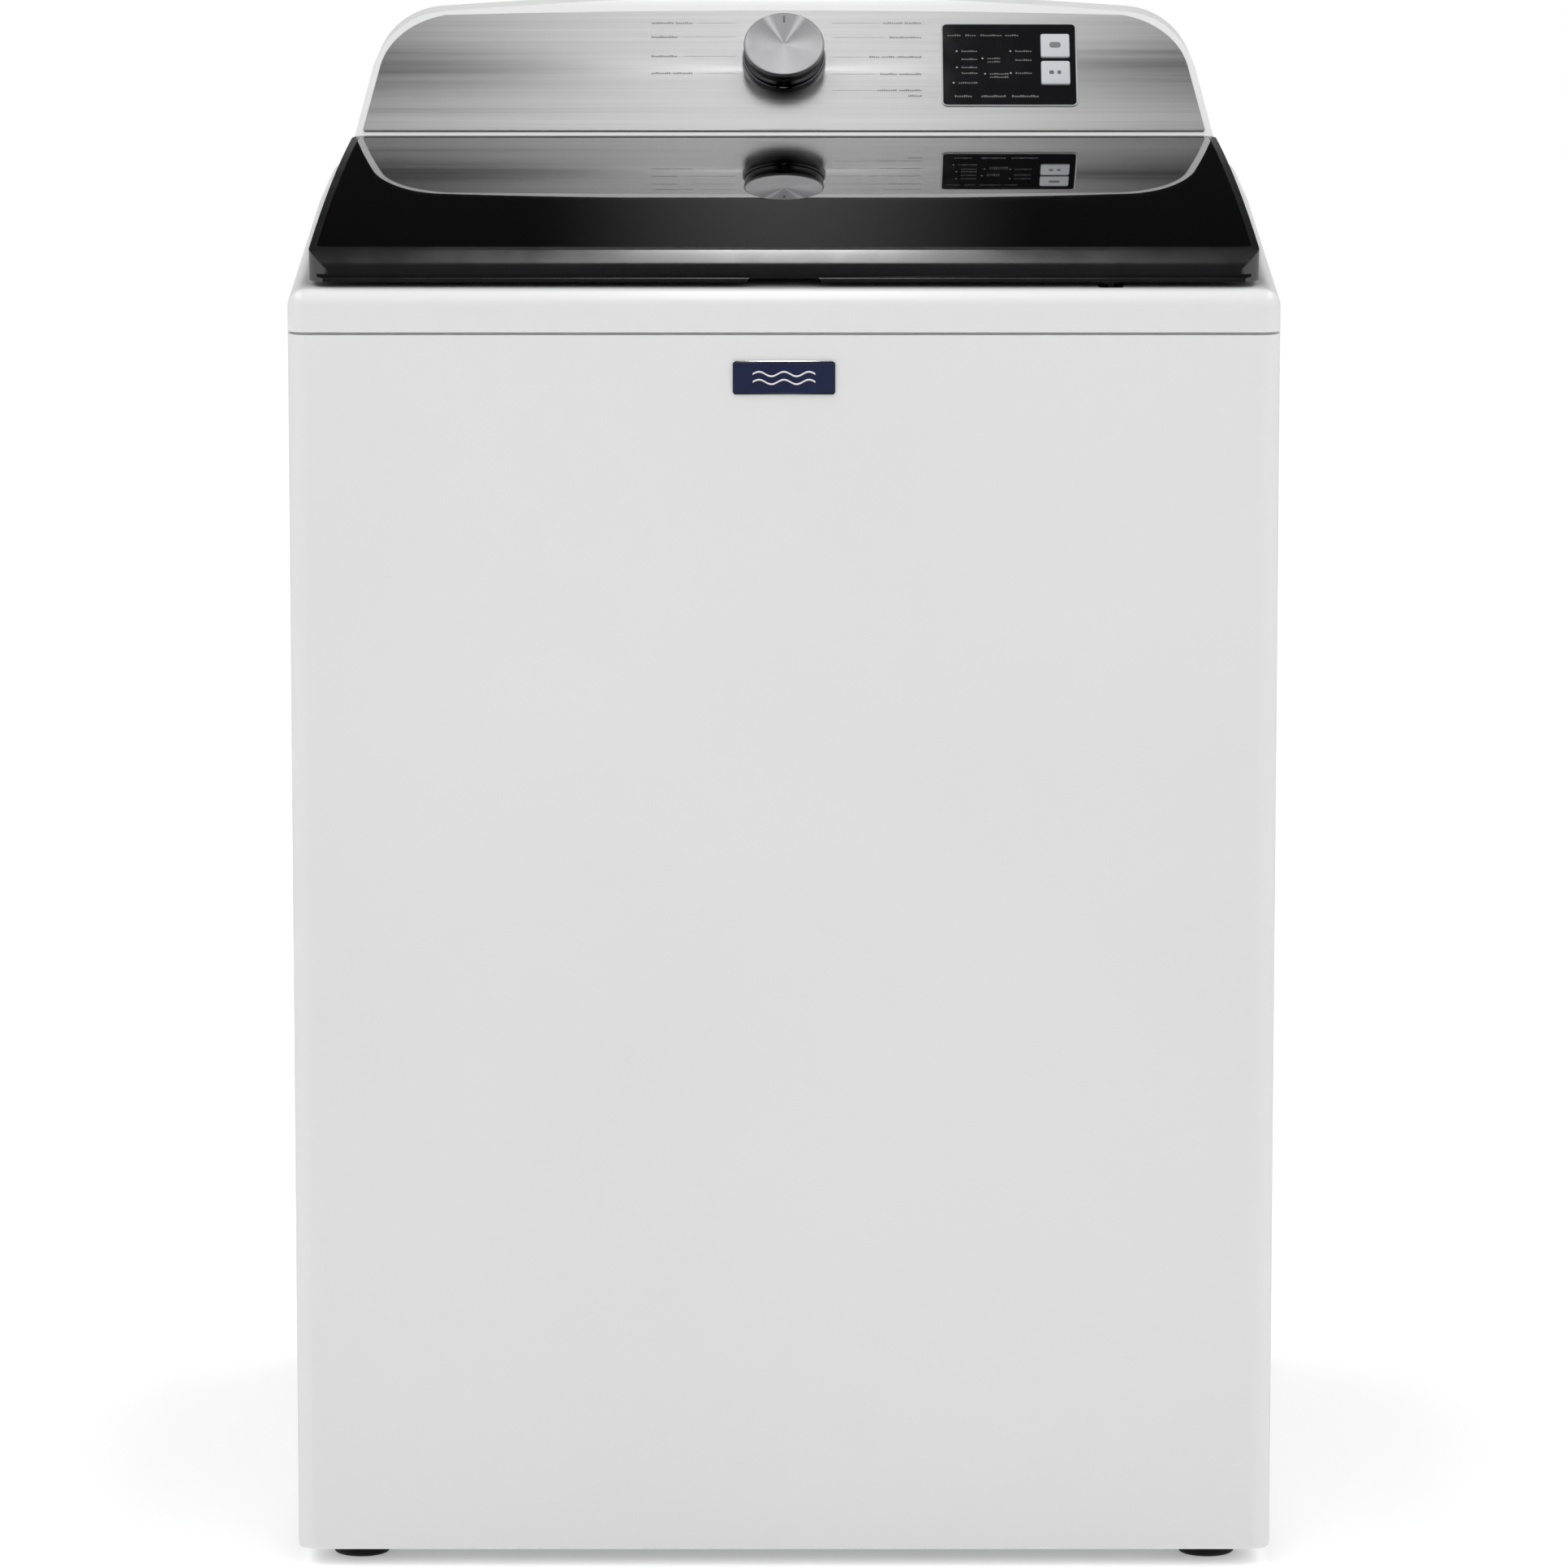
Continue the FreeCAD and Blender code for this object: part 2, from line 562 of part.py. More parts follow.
# ---------------------------------------------------------------- console
def console_outline(inset, y0, y1):
    """The console's arched outline seen from the front, extruded along Y."""
    base, low, arch = 324.0 - inset, CONSOLE_FRONT_Z + 48, CONSOLE_TOP_Z - inset
    side = [Vector(base, y0, DECK_REAR_Z), Vector(base, y0, CONSOLE_FRONT_Z),
            Vector(312 - inset, y0, low)]
    corner = [side[2], Vector(296.5 - inset * 0.75, y0, CONSOLE_FRONT_Z + 71.4 - inset * 0.65),
              Vector(262, y0, CONSOLE_FRONT_Z + 86.3 - inset)]
    other = [Vector(-v.x, v.y, v.z) for v in corner]
    foot = [Vector(-v.x, v.y, v.z) for v in side]
    edges = [
        Part.LineSegment(side[0], side[1]).toShape(),
        Part.LineSegment(side[1], side[2]).toShape(),
        Part.Arc(*corner).toShape(),
        Part.Arc(corner[2], Vector(0, y0, arch + 1.5), other[2]).toShape(),
        Part.Arc(*other[::-1]).toShape(),
        Part.LineSegment(foot[2], foot[1]).toShape(),
        Part.LineSegment(foot[1], foot[0]).toShape(),
        Part.LineSegment(foot[0], side[0]).toShape(),
    ]
    return Part.Face(Part.Wire(edges)).extrude(Vector(0, y1 - y0, 0))


def console_wedge(inset):
    """The console's side profile: upright foot, sloping face, rounded crest and back."""
    y, z, top, s = CONSOLE_FRONT_Y, CONSOLE_FRONT_Z, CONSOLE_TOP_Z, inset
    slope = inset * math.tan(math.radians(FASCIA_TILT / 2))
    run = top - z
    pts = [(y + s, DECK_REAR_Z - s), (y + s, z - slope), (y + run + slope, top - s), (296, top - s),
           (REAR_Y - s, 1040), (REAR_Y - s, DECK_REAR_Z - s)]
    wedge = prism_x(pts, 400)
    return fillet_where(wedge, 13 - s, lambda m, w: m.z > top - s - 0.01 and abs(w.x) > 0.9)


def console_housing():
    """White moulded shell, open below, whose sloping face carries the steel fascia."""
    outer = console_wedge(0).common(console_outline(0, 100, 400))
    inner = console_wedge(CONSOLE_WALL).common(console_outline(CONSOLE_WALL, 90, 410))
    inner = inner.cut(box(-400, 400, 100, 400, 900, DECK_REAR_Z + 0.01))
    foot = box(-400, 400, 100, 400, DECK_REAR_Z - 10, DECK_REAR_Z)
    shell = outer.cut(inner).cut(foot)
    open_below = box(-316, 316, CONSOLE_FRONT_Y + 6, REAR_Y - 6, 900, DECK_REAR_Z + CONSOLE_WALL + 1)
    back = box(-300, 300, REAR_Y - 10, REAR_Y + 10, 946, 1036)
    bed = on_fascia(fascia_block(0, -FASCIA_THICK, 5))
    holes = [on_fascia(cylinder(9, -20, 20, 0, KNOB_L)),
             on_fascia(box(WINDOW_X - 49, WINDOW_X + 49, WINDOW_L - 38, WINDOW_L + 38, -20, 20))]
    return cut(shell, open_below, back, bed, *holes).removeSplitter()


def fascia_block(inset, z0, z1):
    """The steel face's outline in the slope's own x and y, extruded off the slope."""
    low, side_top, crest = 6.0 + inset, 68.0, 123.0 - inset
    a = [Vector(318 - inset, low, z0), Vector(306.5 - inset, side_top, z0)]
    arc = [a[1], Vector(291 - inset * 0.7, 99.5 - inset * 0.7, z0), Vector(258, 118.5 - inset, z0)]
    m = [Vector(-v.x, v.y, v.z) for v in arc]
    b = [Vector(-v.x, v.y, v.z) for v in a]
    edges = [
        Part.LineSegment(a[0], a[1]).toShape(),
        Part.Arc(*arc).toShape(),
        Part.Arc(arc[2], Vector(0, crest, z0), m[2]).toShape(),
        Part.Arc(*m[::-1]).toShape(),
        Part.LineSegment(b[1], b[0]).toShape(),
        Part.LineSegment(b[0], a[0]).toShape(),
    ]
    return Part.Face(Part.Wire(edges)).extrude(Vector(0, 0, z1 - z0))


def console_fascia():
    plate = fascia_block(0.15, -FASCIA_THICK, 0.4)
    window = rounded_box(WINDOW_X - WINDOW_W / 2, WINDOW_X + WINDOW_W / 2,
                         WINDOW_L - WINDOW_H / 2, WINDOW_L + WINDOW_H / 2, -5, 5, 4)
    return on_fascia(cut(plate, window, cylinder(6, -5, 5, 0, KNOB_L)))


def console_rear_cover():
    """Back plate with the water ports' window and the mains cord's gland."""
    plate = rounded_box(-299.7, 299.7, 946.3, 1035.7, 0, CONSOLE_WALL, 6)
    gland = tube(11, 5, -4, CONSOLE_WALL, 250, 975)
    ports = rounded_box(VALVE_X - 46, VALVE_X + 46, VALVE_Z - 18, VALVE_Z + 18, -9, 9, 6)
    plate = cut(plate, ports, cylinder(5, -9, 9, 250, 975)).fuse(gland)
    plate.rotate(Vector(0, 0, 0), X_AXIS, 90)
    plate.translate(Vector(0, REAR_Y, 0))
    return screw_holes(plate, COVER_SCREWS, REAR_Y).removeSplitter()


def knob_bezel():
    return on_fascia(fillet_where(tube(31.5, 4.0, 0.4, 5.0, 0, KNOB_L), 1.5,
                                  lambda m, w: m.z > 4.9 and abs(math.hypot(m.x, m.y - KNOB_L) - 31.5) < 1))


def knob_skirt():
    """Bright turned ring with a waist, closed at its top, bored for the shaft."""
    pts = [(SPINDLE_R, 5.6), (KNOB_R - 1.5, 5.6), (KNOB_R - 0.5, 6.6), (KNOB_R - 2.5, 10.5),
           (KNOB_R - 0.2, 15.0), (KNOB_R - 0.2, KNOB_SEAT), (SPINDLE_R, KNOB_SEAT)]
    wire = Part.makePolygon([Vector(r, 0, z) for r, z in pts + pts[:1]])
    ring = Part.Face(wire).revolve(Vector(0, 0, 0), Z_AXIS, 360)
    ring.translate(Vector(0, KNOB_L, 0))
    return on_fascia(ring)


def knob_cap():
    cap = cylinder(KNOB_R, KNOB_SEAT, KNOB_HEIGHT, 0, KNOB_L)
    cap = fillet_where(cap, 1.0, lambda m, w: m.z > KNOB_HEIGHT - 0.01)
    mark = box(-0.9, 0.9, KNOB_L + KNOB_R - 9, KNOB_L + KNOB_R - 3, KNOB_HEIGHT - 0.5, KNOB_HEIGHT + 1)
    return on_fascia(cap.cut(mark))


def knob_spindle():
    return on_fascia(cylinder(SPINDLE_R, -16, KNOB_SEAT, 0, KNOB_L))


def encoder():
    """Rotary switch behind the fascia."""
    case = box(-13, 13, KNOB_L - 13, KNOB_L + 13, -22, -5)
    neck = cylinder(5, -5, -1.2, 0, KNOB_L)
    return on_fascia(fuse(case, neck).cut(cylinder(SPINDLE_R + RUNNING, -17, 0, 0, KNOB_L)))


def display_window():
    glass = rounded_box(WINDOW_X - WINDOW_W / 2 + 0.2, WINDOW_X + WINDOW_W / 2 - 0.2,
                        WINDOW_L - WINDOW_H / 2 + 0.2, WINDOW_L + WINDOW_H / 2 - 0.2, -0.8, 1.0, 3.8)
    carrier = box(WINDOW_X - 48.5, WINDOW_X + 48.5, WINDOW_L - 37.5, WINDOW_L + 37.5, -5, -0.8)
    whole = fuse(glass, carrier)
    gap = 0.3
    for l in BUTTON_LS:
        whole = whole.cut(rounded_box(BUTTON_X - BUTTON_W / 2 - gap, BUTTON_X + BUTTON_W / 2 + gap,
                                      l - BUTTON_H / 2 - gap, l + BUTTON_H / 2 + gap, -9, 9, 1.8))
    return on_fascia(whole)


def button(l):
    top = 2.2
    key = rounded_box(BUTTON_X - BUTTON_W / 2, BUTTON_X + BUTTON_W / 2,
                      l - BUTTON_H / 2, l + BUTTON_H / 2, -7, top, 1.5)
    return on_fascia(fillet_where(key, 0.6, lambda m, w: m.z > top - 0.01))


def control_board():
    """Circuit board on the back of the display, with a relay, capacitors and connectors."""
    board = box(WINDOW_X - 120, WINDOW_X + 60, 22, 108, -14.6, -13)
    chips = [box(WINDOW_X - 110, WINDOW_X - 80, 40, 66, -34, -14.6),
             box(WINDOW_X - 112, WINDOW_X - 88, 80, 100, -30, -14.6),
             box(WINDOW_X - 60, WINDOW_X + 20, 26, 38, -26, -14.6)]
    cans = [Part.makeCylinder(6, 16, Vector(WINDOW_X - 66 + 18 * k, 90, -30.6)) for k in range(3)]
    return on_fascia(fuse(board, *chips, *cans))


# ---------------------------------------------------------------- water in
def inlet_valve_body():
    """Double inlet valve with two threaded ports through the console's back."""
    front, back, half = VALVE_Y - 13, VALVE_Y + 21, 42.0
    block = rounded_box(VALVE_X - half, VALVE_X + half, front, back, VALVE_Z - 16, VALVE_Z + 14, 4)
    ports = [rod_along(Y_AXIS, PORT_R, (VALVE_X + dx, back, VALVE_Z), OVERALL_REAR_Y - back)
             for dx in (-PORT_DX, PORT_DX)]
    neck = cylinder(11.5, DECK_REAR_Z + 3, VALVE_Z - 16, VALVE_X, VALVE_Y)
    flange = rounded_box(VALVE_X - half - 3, VALVE_X + half + 3, back, REAR_Y - CONSOLE_WALL,
                         VALVE_Z - 17, VALVE_Z + 17, 4)
    bores = [rod_along(Y_AXIS, 9.5, (VALVE_X + dx, back - 10, VALVE_Z), 80) for dx in (-PORT_DX, PORT_DX)]
    outlet = cylinder(8.5, DECK_REAR_Z, VALVE_Z - 8, VALVE_X, VALVE_Y)
    return cut(fuse(block, neck, flange, *ports), outlet, *bores)


def inlet_solenoids():
    """The two coils that stand on the valve."""
    foot, shoulder, tip = VALVE_Z + 14, VALVE_Z + 44, VALVE_Z + 48
    return Part.makeCompound([fuse(cylinder(13, foot, shoulder, VALVE_X + dx, VALVE_Y),
                                   cylinder(5, shoulder, tip, VALVE_X + dx, VALVE_Y))
                              for dx in (-COIL_DX, COIL_DX)])


def fill_nozzle():
    """Duct from the valve's neck down through the deck and forward to the tub's mouth."""
    route = [(VALVE_X, VALVE_Y, DECK_REAR_Z + 3), (VALVE_X, VALVE_Y, 908), (VALVE_X, 220, 904),
             (VALVE_X, 120, 903)]
    duct = hollow_route(route, 11.0, 8.5)
    lip = box(VALVE_X - 15, VALVE_X + 15, 112, 122, 893, 914)
    return fuse(duct, lip).cut(box(VALVE_X - 8, VALVE_X + 8, 105, 130, 896, 906))


# ---------------------------------------------------------------- tub and basket
def outer_tub():
    r, w = TUB_R, TUB_WALL
    wall = revolve([(BEARING_R, 160), (HUB_R, 160), (HUB_R, TUB_FLOOR), (r + w - 20, TUB_FLOOR),
                    (r + w, TUB_FLOOR + 20), (r + w, TUB_TOP), (r, TUB_TOP), (r, TUB_FLOOR + 22),
                    (r - 18, TUB_FLOOR + 5), (HUB_R, TUB_FLOOR + 5), (HUB_R, 246), (BEARING_R, 246),
                    (BEARING_R, 238 - 16), (26, 238 - 16), (26, 186), (BEARING_R, 186)])
    parts = [wall]
    for x, y in ROD_PLACES:
        reach = math.hypot(x, y - TUB_Y)
        web = fuse(box(r, reach, -14, 14, EAR_Z, EAR_Z + 18), box(r, reach - 40, -5, 5, EAR_Z - 60, EAR_Z))
        web.rotate(Vector(0, 0, 0), Z_AXIS, math.degrees(math.atan2(y - TUB_Y, x)))
        web.translate(Vector(0, TUB_Y, 0))
        web = web.cut(cylinder(r + 1, EAR_Z - 80, EAR_Z + 60, 0, TUB_Y))
        parts += [cylinder(22, EAR_Z, EAR_Z + 18, x, y), web]
    for z in (420, 620):
        parts.append(tube(r + w + 5, r + 1, z, z + 8, 0, TUB_Y))
    tub = fuse(*parts)
    holes = [cylinder(ROD_R + 2.5, EAR_Z - 5, EAR_Z + 30, x, y) for x, y in ROD_PLACES]
    drain = cylinder(18, TUB_FLOOR - 20, TUB_FLOOR + 20, PUMP_X, PUMP_Y)
    return cut(tub, drain, *holes)


def tub_ring():
    """Snap-on cover over the gap between tub and basket."""
    out = TUB_R + TUB_WALL
    return revolve([(250, 841), (254, 841), (254, TUB_TOP), (out, TUB_TOP), (out, 834), (out + 5, 834),
                    (out + 5, TUB_TOP + 6), (250, TUB_TOP + 6)])


def wash_basket():
    r, t = BASKET_R, SHEET
    return revolve([(r - 22, BASKET_FLOOR), (r, BASKET_FLOOR), (r, BASKET_TOP), (r - t, BASKET_TOP),
                    (r - t, BASKET_FLOOR + t), (r - 22, BASKET_FLOOR + t)])


def basket_hub():
    """Base casting of the basket: disc with drain holes, ribs below and a central boss."""
    disc = revolve([(SPIN_TUBE_R, 249), (46, 249), (46, 254), (BASKET_R - 2, 254),
                    (BASKET_R - 2, BASKET_FLOOR), (46, BASKET_FLOOR), (46, 268), (SPIN_TUBE_R, 268)])
    holes = []
    for ring, count in ((120, 10), (180, 16), (225, 20)):
        for k in range(count):
            a = 2 * math.pi * k / count
            holes.append(cylinder(6, 250, 266, ring * math.cos(a), TUB_Y + ring * math.sin(a)))
    return cut(disc, *holes)


def balance_ring():
    return fillet_where(
        revolve([(243, BASKET_TOP), (279, BASKET_TOP), (279, 836), (243, 836)]), 5,
        lambda m, w: m.z > 835)


def agitator():
    """Bell with four swept fins and a column with an auger's vanes."""
    bell = revolve([(SHAFT_R, 272), (26, 272), (26, 300), (70, 296), (120, 284), (205, 272),
                    (212, 272), (212, 276), (122, 296), (74, 318), (54, 360), (44, 460), (42, 640),
                    (38, 640), (38, 460), (48, 362), (60, 330), (26, 322), (26, 334), (SHAFT_R, 334)])
    fins = []
    for k in range(4):
        fin = agitator_fin()
        fin.rotate(Vector(0, 0, 0), Z_AXIS, 90 * k + 20)
        fin.translate(Vector(0, TUB_Y, 0))
        fins.append(fin)
    for k in range(9):
        vane = box(38.5, 80, -2.5, 2.5, -22, 22)
        vane.rotate(Vector(0, 0, 0), X_AXIS, 62)
        vane.rotate(Vector(0, 0, 0), Z_AXIS, 40 * k * 2)
        vane.translate(Vector(0, TUB_Y, 430 + 20 * k))
        core = cylinder(40, 380, 636, 0, TUB_Y)
        fins.append(vane.cut(core))
    body = bell
    for fin in fins:
        body = body.fuse(fin)
    inside = revolve([(SHAFT_R, 330), (59, 330), (47, 362), (37.9, 460), (37.9, 640), (SHAFT_R, 640)])
    hub = revolve([(SHAFT_R, 300), (26, 300), (26, 334), (SHAFT_R, 334)])
    return body.cut(inside).fuse(hub).removeSplitter()


def agitator_fin():
    """One tall fin of the agitator's skirt, drawn on the X axis."""
    pts = [(46, 430), (60, 420), (100, 350), (150, 312), (198, 280), (198, 277), (122, 294),
           (76, 317), (46, 400)]
    wire = Part.makePolygon([Vector(x, -5, z) for x, z in pts + pts[:1]])
    return Part.Face(wire).extrude(Vector(0, 10, 0))


def softener_cup():
    """Fabric softener cup standing on the agitator's column."""
    return revolve([(0, 640), (44, 640), (44, 652), (52, 664), (54, 730), (51, 730), (49, 668),
                    (40, 656), (0, 656)])


def agitator_shaft():
    return cylinder(SHAFT_R, 112, 334, 0, TUB_Y)


def spin_tube():
    return tube(SPIN_TUBE_R, SHAFT_R + RUNNING, 120, 268, 0, TUB_Y)


def spin_bearings():
    inner = SPIN_TUBE_R + RUNNING
    return Part.makeCompound([tube(BEARING_R, inner, 170, 186, 0, TUB_Y),
                              tube(BEARING_R, inner, 222, 238, 0, TUB_Y)])


def tub_seal():
    """Lip seal in the hub's mouth above the upper bearing."""
    return revolve([(BEARING_R, 238), (BEARING_R, 246), (SPIN_TUBE_R + 0.4, 246),
                    (SPIN_TUBE_R + 0.4, 242), (24, 240), (24, 238)])


# ---------------------------------------------------------------- drive
def gearcase():
    low_bore, top_bore = 8 + RUNNING, SPIN_TUBE_R + RUNNING
    shell = revolve([(low_bore, 92), (86, 92), (92, 98), (92, 152), (64, 158), (top_bore, 158),
                     (top_bore, 150), (60, 150), (78, 144), (78, 102), (low_bore, 102)])
    ribs = []
    for k in range(8):
        rib = box(84, 100, -3, 3, 100, 150)
        rib.rotate(Vector(0, 0, 0), Z_AXIS, 45 * k + 22.5)
        rib.translate(Vector(0, TUB_Y, 0))
        ribs.append(rib.cut(cylinder(80, 90, 160, 0, TUB_Y)))
    return fuse(shell, *ribs)


def drive_frame():
    """Pressed plate under the tub that carries the motor and the gearcase."""
    plate = rounded_box(-250, 150, TUB_Y - 82, TUB_Y + 82, 158, 161, 30)
    wall = rounded_box(-250, 150, TUB_Y - 82, TUB_Y + 82, 161, 176, 30).cut(
        rounded_box(-247, 147, TUB_Y - 79, TUB_Y + 79, 160, 180, 27))
    posts = [cylinder(12, 161, TUB_FLOOR, x, TUB_Y + y) for x in (-215, 120) for y in (-60, 60)]
    return fuse(plate, wall, *posts).cut(cylinder(HUB_R + 2, 150, 180, 0, TUB_Y))


def pulley_profile(seat, bore, flange):
    z0, z1 = BELT_Z - 3, BELT_Z + BELT_W + 3
    return [(bore, z0), (seat + flange, z0), (seat + flange, z0 + 2), (seat, z0 + 3), (seat, z1 - 3),
            (seat + flange, z1 - 2), (seat + flange, z1), (bore, z1)]


def drive_pulley():
    """Large spoked pulley with its short input shaft into the gearcase."""
    wheel = revolve(pulley_profile(PULLEY_SEAT_R, 0.0, 5))
    dish = tube(PULLEY_SEAT_R - 8, 24, 55, BELT_Z + 5, 0, TUB_Y)
    dish_top = tube(PULLEY_SEAT_R - 8, 24, BELT_Z + 8, 95, 0, TUB_Y)
    windows = []
    for k in range(6):
        a = math.radians(60 * k)
        windows.append(cylinder(18, 50, 95, 62 * math.cos(a), TUB_Y + 62 * math.sin(a)))
    return cut(wheel, dish, dish_top, *windows).fuse(cylinder(8, BELT_Z, 110, 0, TUB_Y)).removeSplitter()


def motor_pulley():
    """Small pulley on the motor's shaft, with the rotor that the stator turns."""
    pts = pulley_profile(MOTOR_SEAT_R, 0.0, 3)
    wire = Part.makePolygon([Vector(r, 0, z) for r, z in pts + pts[:1]])
    wheel = Part.Face(wire).revolve(Vector(0, 0, 0), Z_AXIS, 360)
    whole = fuse(wheel, cylinder(ROTOR_SHAFT_R, 70, 152), cylinder(34, 104, 142))
    whole.translate(Vector(MOTOR_X, TUB_Y, 0))
    return whole


def motor():
    """Motor can hung from the drive frame, with cooling slots round its skirt."""
    can = fillet_where(cylinder(66, 90, 158, MOTOR_X, TUB_Y), 6, lambda m, w: m.z < 91)
    cavity = cylinder(36, 100, 146, MOTOR_X, TUB_Y)
    bore = cylinder(ROTOR_SHAFT_R + RUNNING, 80, 153, MOTOR_X, TUB_Y)
    slots = []
    for k in range(12):
        slot = box(58, 70, -3, 3, 104, 132)
        slot.rotate(Vector(0, 0, 0), Z_AXIS, 30 * k)
        slot.translate(Vector(MOTOR_X, TUB_Y, 0))
        slots.append(slot)
    return cut(can, cavity, bore, *slots)


def belt_loop(grow, z0, z1):
    """The outline of a belt round both pulleys, grown outwards from their seats."""
    big, small, span = PULLEY_SEAT_R + grow, MOTOR_SEAT_R + grow, -MOTOR_X
    lean = math.acos((big - small) / span)
    edges = []
    pts = {}
    for name, x, r in (("big", 0, big), ("small", MOTOR_X, small)):
        for side in (1, -1):
            a = math.pi - side * lean
            pts[name, side] = Vector(x + r * math.cos(a), TUB_Y + r * math.sin(a), z0)
    edges.append(Part.Arc(pts["big", 1], Vector(big, TUB_Y, z0), pts["big", -1]).toShape())
    edges.append(Part.LineSegment(pts["big", -1], pts["small", -1]).toShape())
    edges.append(Part.Arc(pts["small", -1], Vector(MOTOR_X - small, TUB_Y, z0),
                          pts["small", 1]).toShape())
    edges.append(Part.LineSegment(pts["small", 1], pts["big", 1]).toShape())
    return Part.Face(Part.Wire(edges)).extrude(Vector(0, 0, z1 - z0))


def drive_belt():
    z0 = BELT_Z + 0.3
    z1 = BELT_Z + BELT_W - 0.3
    return belt_loop(0.3 + BELT_THICK, z0, z1).cut(belt_loop(0.3, z0 - 1, z1 + 1))


# ---------------------------------------------------------------- drain
def drain_pump():
    """Pump body under the tub's sump: motor block, volute, neck and outlet."""
    volute = tube(45, 36, 146, 190, PUMP_X, PUMP_Y)
    lid = tube(45, 14, 186, 190, PUMP_X, PUMP_Y)
    bore = PUMP_SHAFT_R + RUNNING
    block = fuse(tube(38, bore, 108, 146, PUMP_X, PUMP_Y), tube(45, bore, 142, 148, PUMP_X, PUMP_Y))
    neck = tube(18, 14, 186, TUB_FLOOR + 5, PUMP_X, PUMP_Y)
    spout = rod_along(Y_AXIS, 12, (PUMP_X, PUMP_Y + 38, SPOUT_Z), 42)
    way_out = rod_along(Y_AXIS, 9, (PUMP_X, PUMP_Y + 30, SPOUT_Z), 60)
    return fuse(volute, lid, block, neck, spout).cut(way_out)


def pump_impeller():
    wheel = fuse(cylinder(28, 152, 156, PUMP_X, PUMP_Y), cylinder(PUMP_SHAFT_R, 112, 176, PUMP_X, PUMP_Y))
    for k in range(6):
        blade = box(4, 27, -1.2, 1.2, 156, 172)
        blade.rotate(Vector(0, 0, 0), Z_AXIS, 60 * k)
        blade.translate(Vector(PUMP_X, PUMP_Y, 0))
        wheel = wheel.fuse(blade)
    return wheel.removeSplitter()


def drain_hose():
    """Hose from the pump's spout up the rear corner to the outlet in the back panel."""
    route = [(PUMP_X, PUMP_Y + 81, SPOUT_Z), (PUMP_X, 232, SPOUT_Z), (PUMP_X - 34, 262, 184),
             (DRAIN_X + 12, 264, 246), (DRAIN_X, 260, 330), (DRAIN_X - 3, 258, 480),
             (DRAIN_X - 2, 260, 630), (DRAIN_X, 258, DRAIN_Z), (DRAIN_X, REAR_Y - 1, DRAIN_Z)]
    return hollow_route(route, 15.0, 12.2)


def drain_spigot():
    """Barbed outlet through the back panel."""
    y = REAR_Y + SHEET
    pipe = rod_along(Y_AXIS, 15, (DRAIN_X, y, DRAIN_Z), 32)
    collar = rod_along(Y_AXIS, 24, (DRAIN_X, y, DRAIN_Z), 3)
    inner = rod_along(Y_AXIS, 12, (DRAIN_X, REAR_Y - 14, DRAIN_Z), 20)
    return fuse(pipe, collar, inner).cut(rod_along(Y_AXIS, 9, (DRAIN_X, 290, DRAIN_Z), 80))


# ---------------------------------------------------------------- suspension
def suspension_rods():
    """Rods with a ball that sits in the corner plate's socket and a foot under the spring seat."""
    rods = []
    for x, y in ROD_PLACES:
        ball = Part.makeSphere(11, Vector(x, y, BRACKET_Z + 11)).cut(
            box(x - 20, x + 20, y - 20, y + 20, BRACKET_Z - 10, BRACKET_Z + 4))
        rods.append(fuse(ball, cylinder(ROD_R, 244, BRACKET_Z + 8, x, y)))
    return Part.makeCompound(rods)


def rod_spring_seats():
    """Cups on the rods' lower ends that the springs stand in."""
    cups = []
    for x, y in ROD_PLACES:
        cup = fuse(cylinder(21, 250, SPRING_LOW_Z, x, y), tube(21, 19, SPRING_LOW_Z, 268, x, y))
        cups.append(cup.cut(cylinder(ROD_R, 240, 280, x, y)))
    return Part.makeCompound(cups)


def damper_cups():
    """Caps under the tub's ears that take the springs' tops and rub on the rods."""
    cups = []
    for x, y in ROD_PLACES:
        cup = fuse(cylinder(20, SPRING_HIGH_Z, EAR_Z, x, y), tube(24, 20, SPRING_HIGH_Z - 6, EAR_Z, x, y))
        cups.append(cup.cut(cylinder(ROD_R + RUNNING, 300, 380, x, y)))
    return Part.makeCompound(cups)


def suspension_springs():
    """Compression springs between the seats and the caps."""
    wire_r, coil_r = 2.0, 14.0
    low, high = SPRING_LOW_Z + wire_r, SPRING_HIGH_Z - wire_r
    turns = 7.0
    helix = Part.makeHelix((high - low) / turns, high - low, coil_r)
    ring = Part.Wire(Part.makeCircle(wire_r, Vector(coil_r, 0, 0), Y_AXIS))
    coil = Part.Wire(helix.Edges).makePipeShell([ring], True, True)
    springs = []
    for x, y in ROD_PLACES:
        one = coil.copy()
        one.translate(Vector(x, y, low))
        springs.append(one)
    return Part.makeCompound(springs)


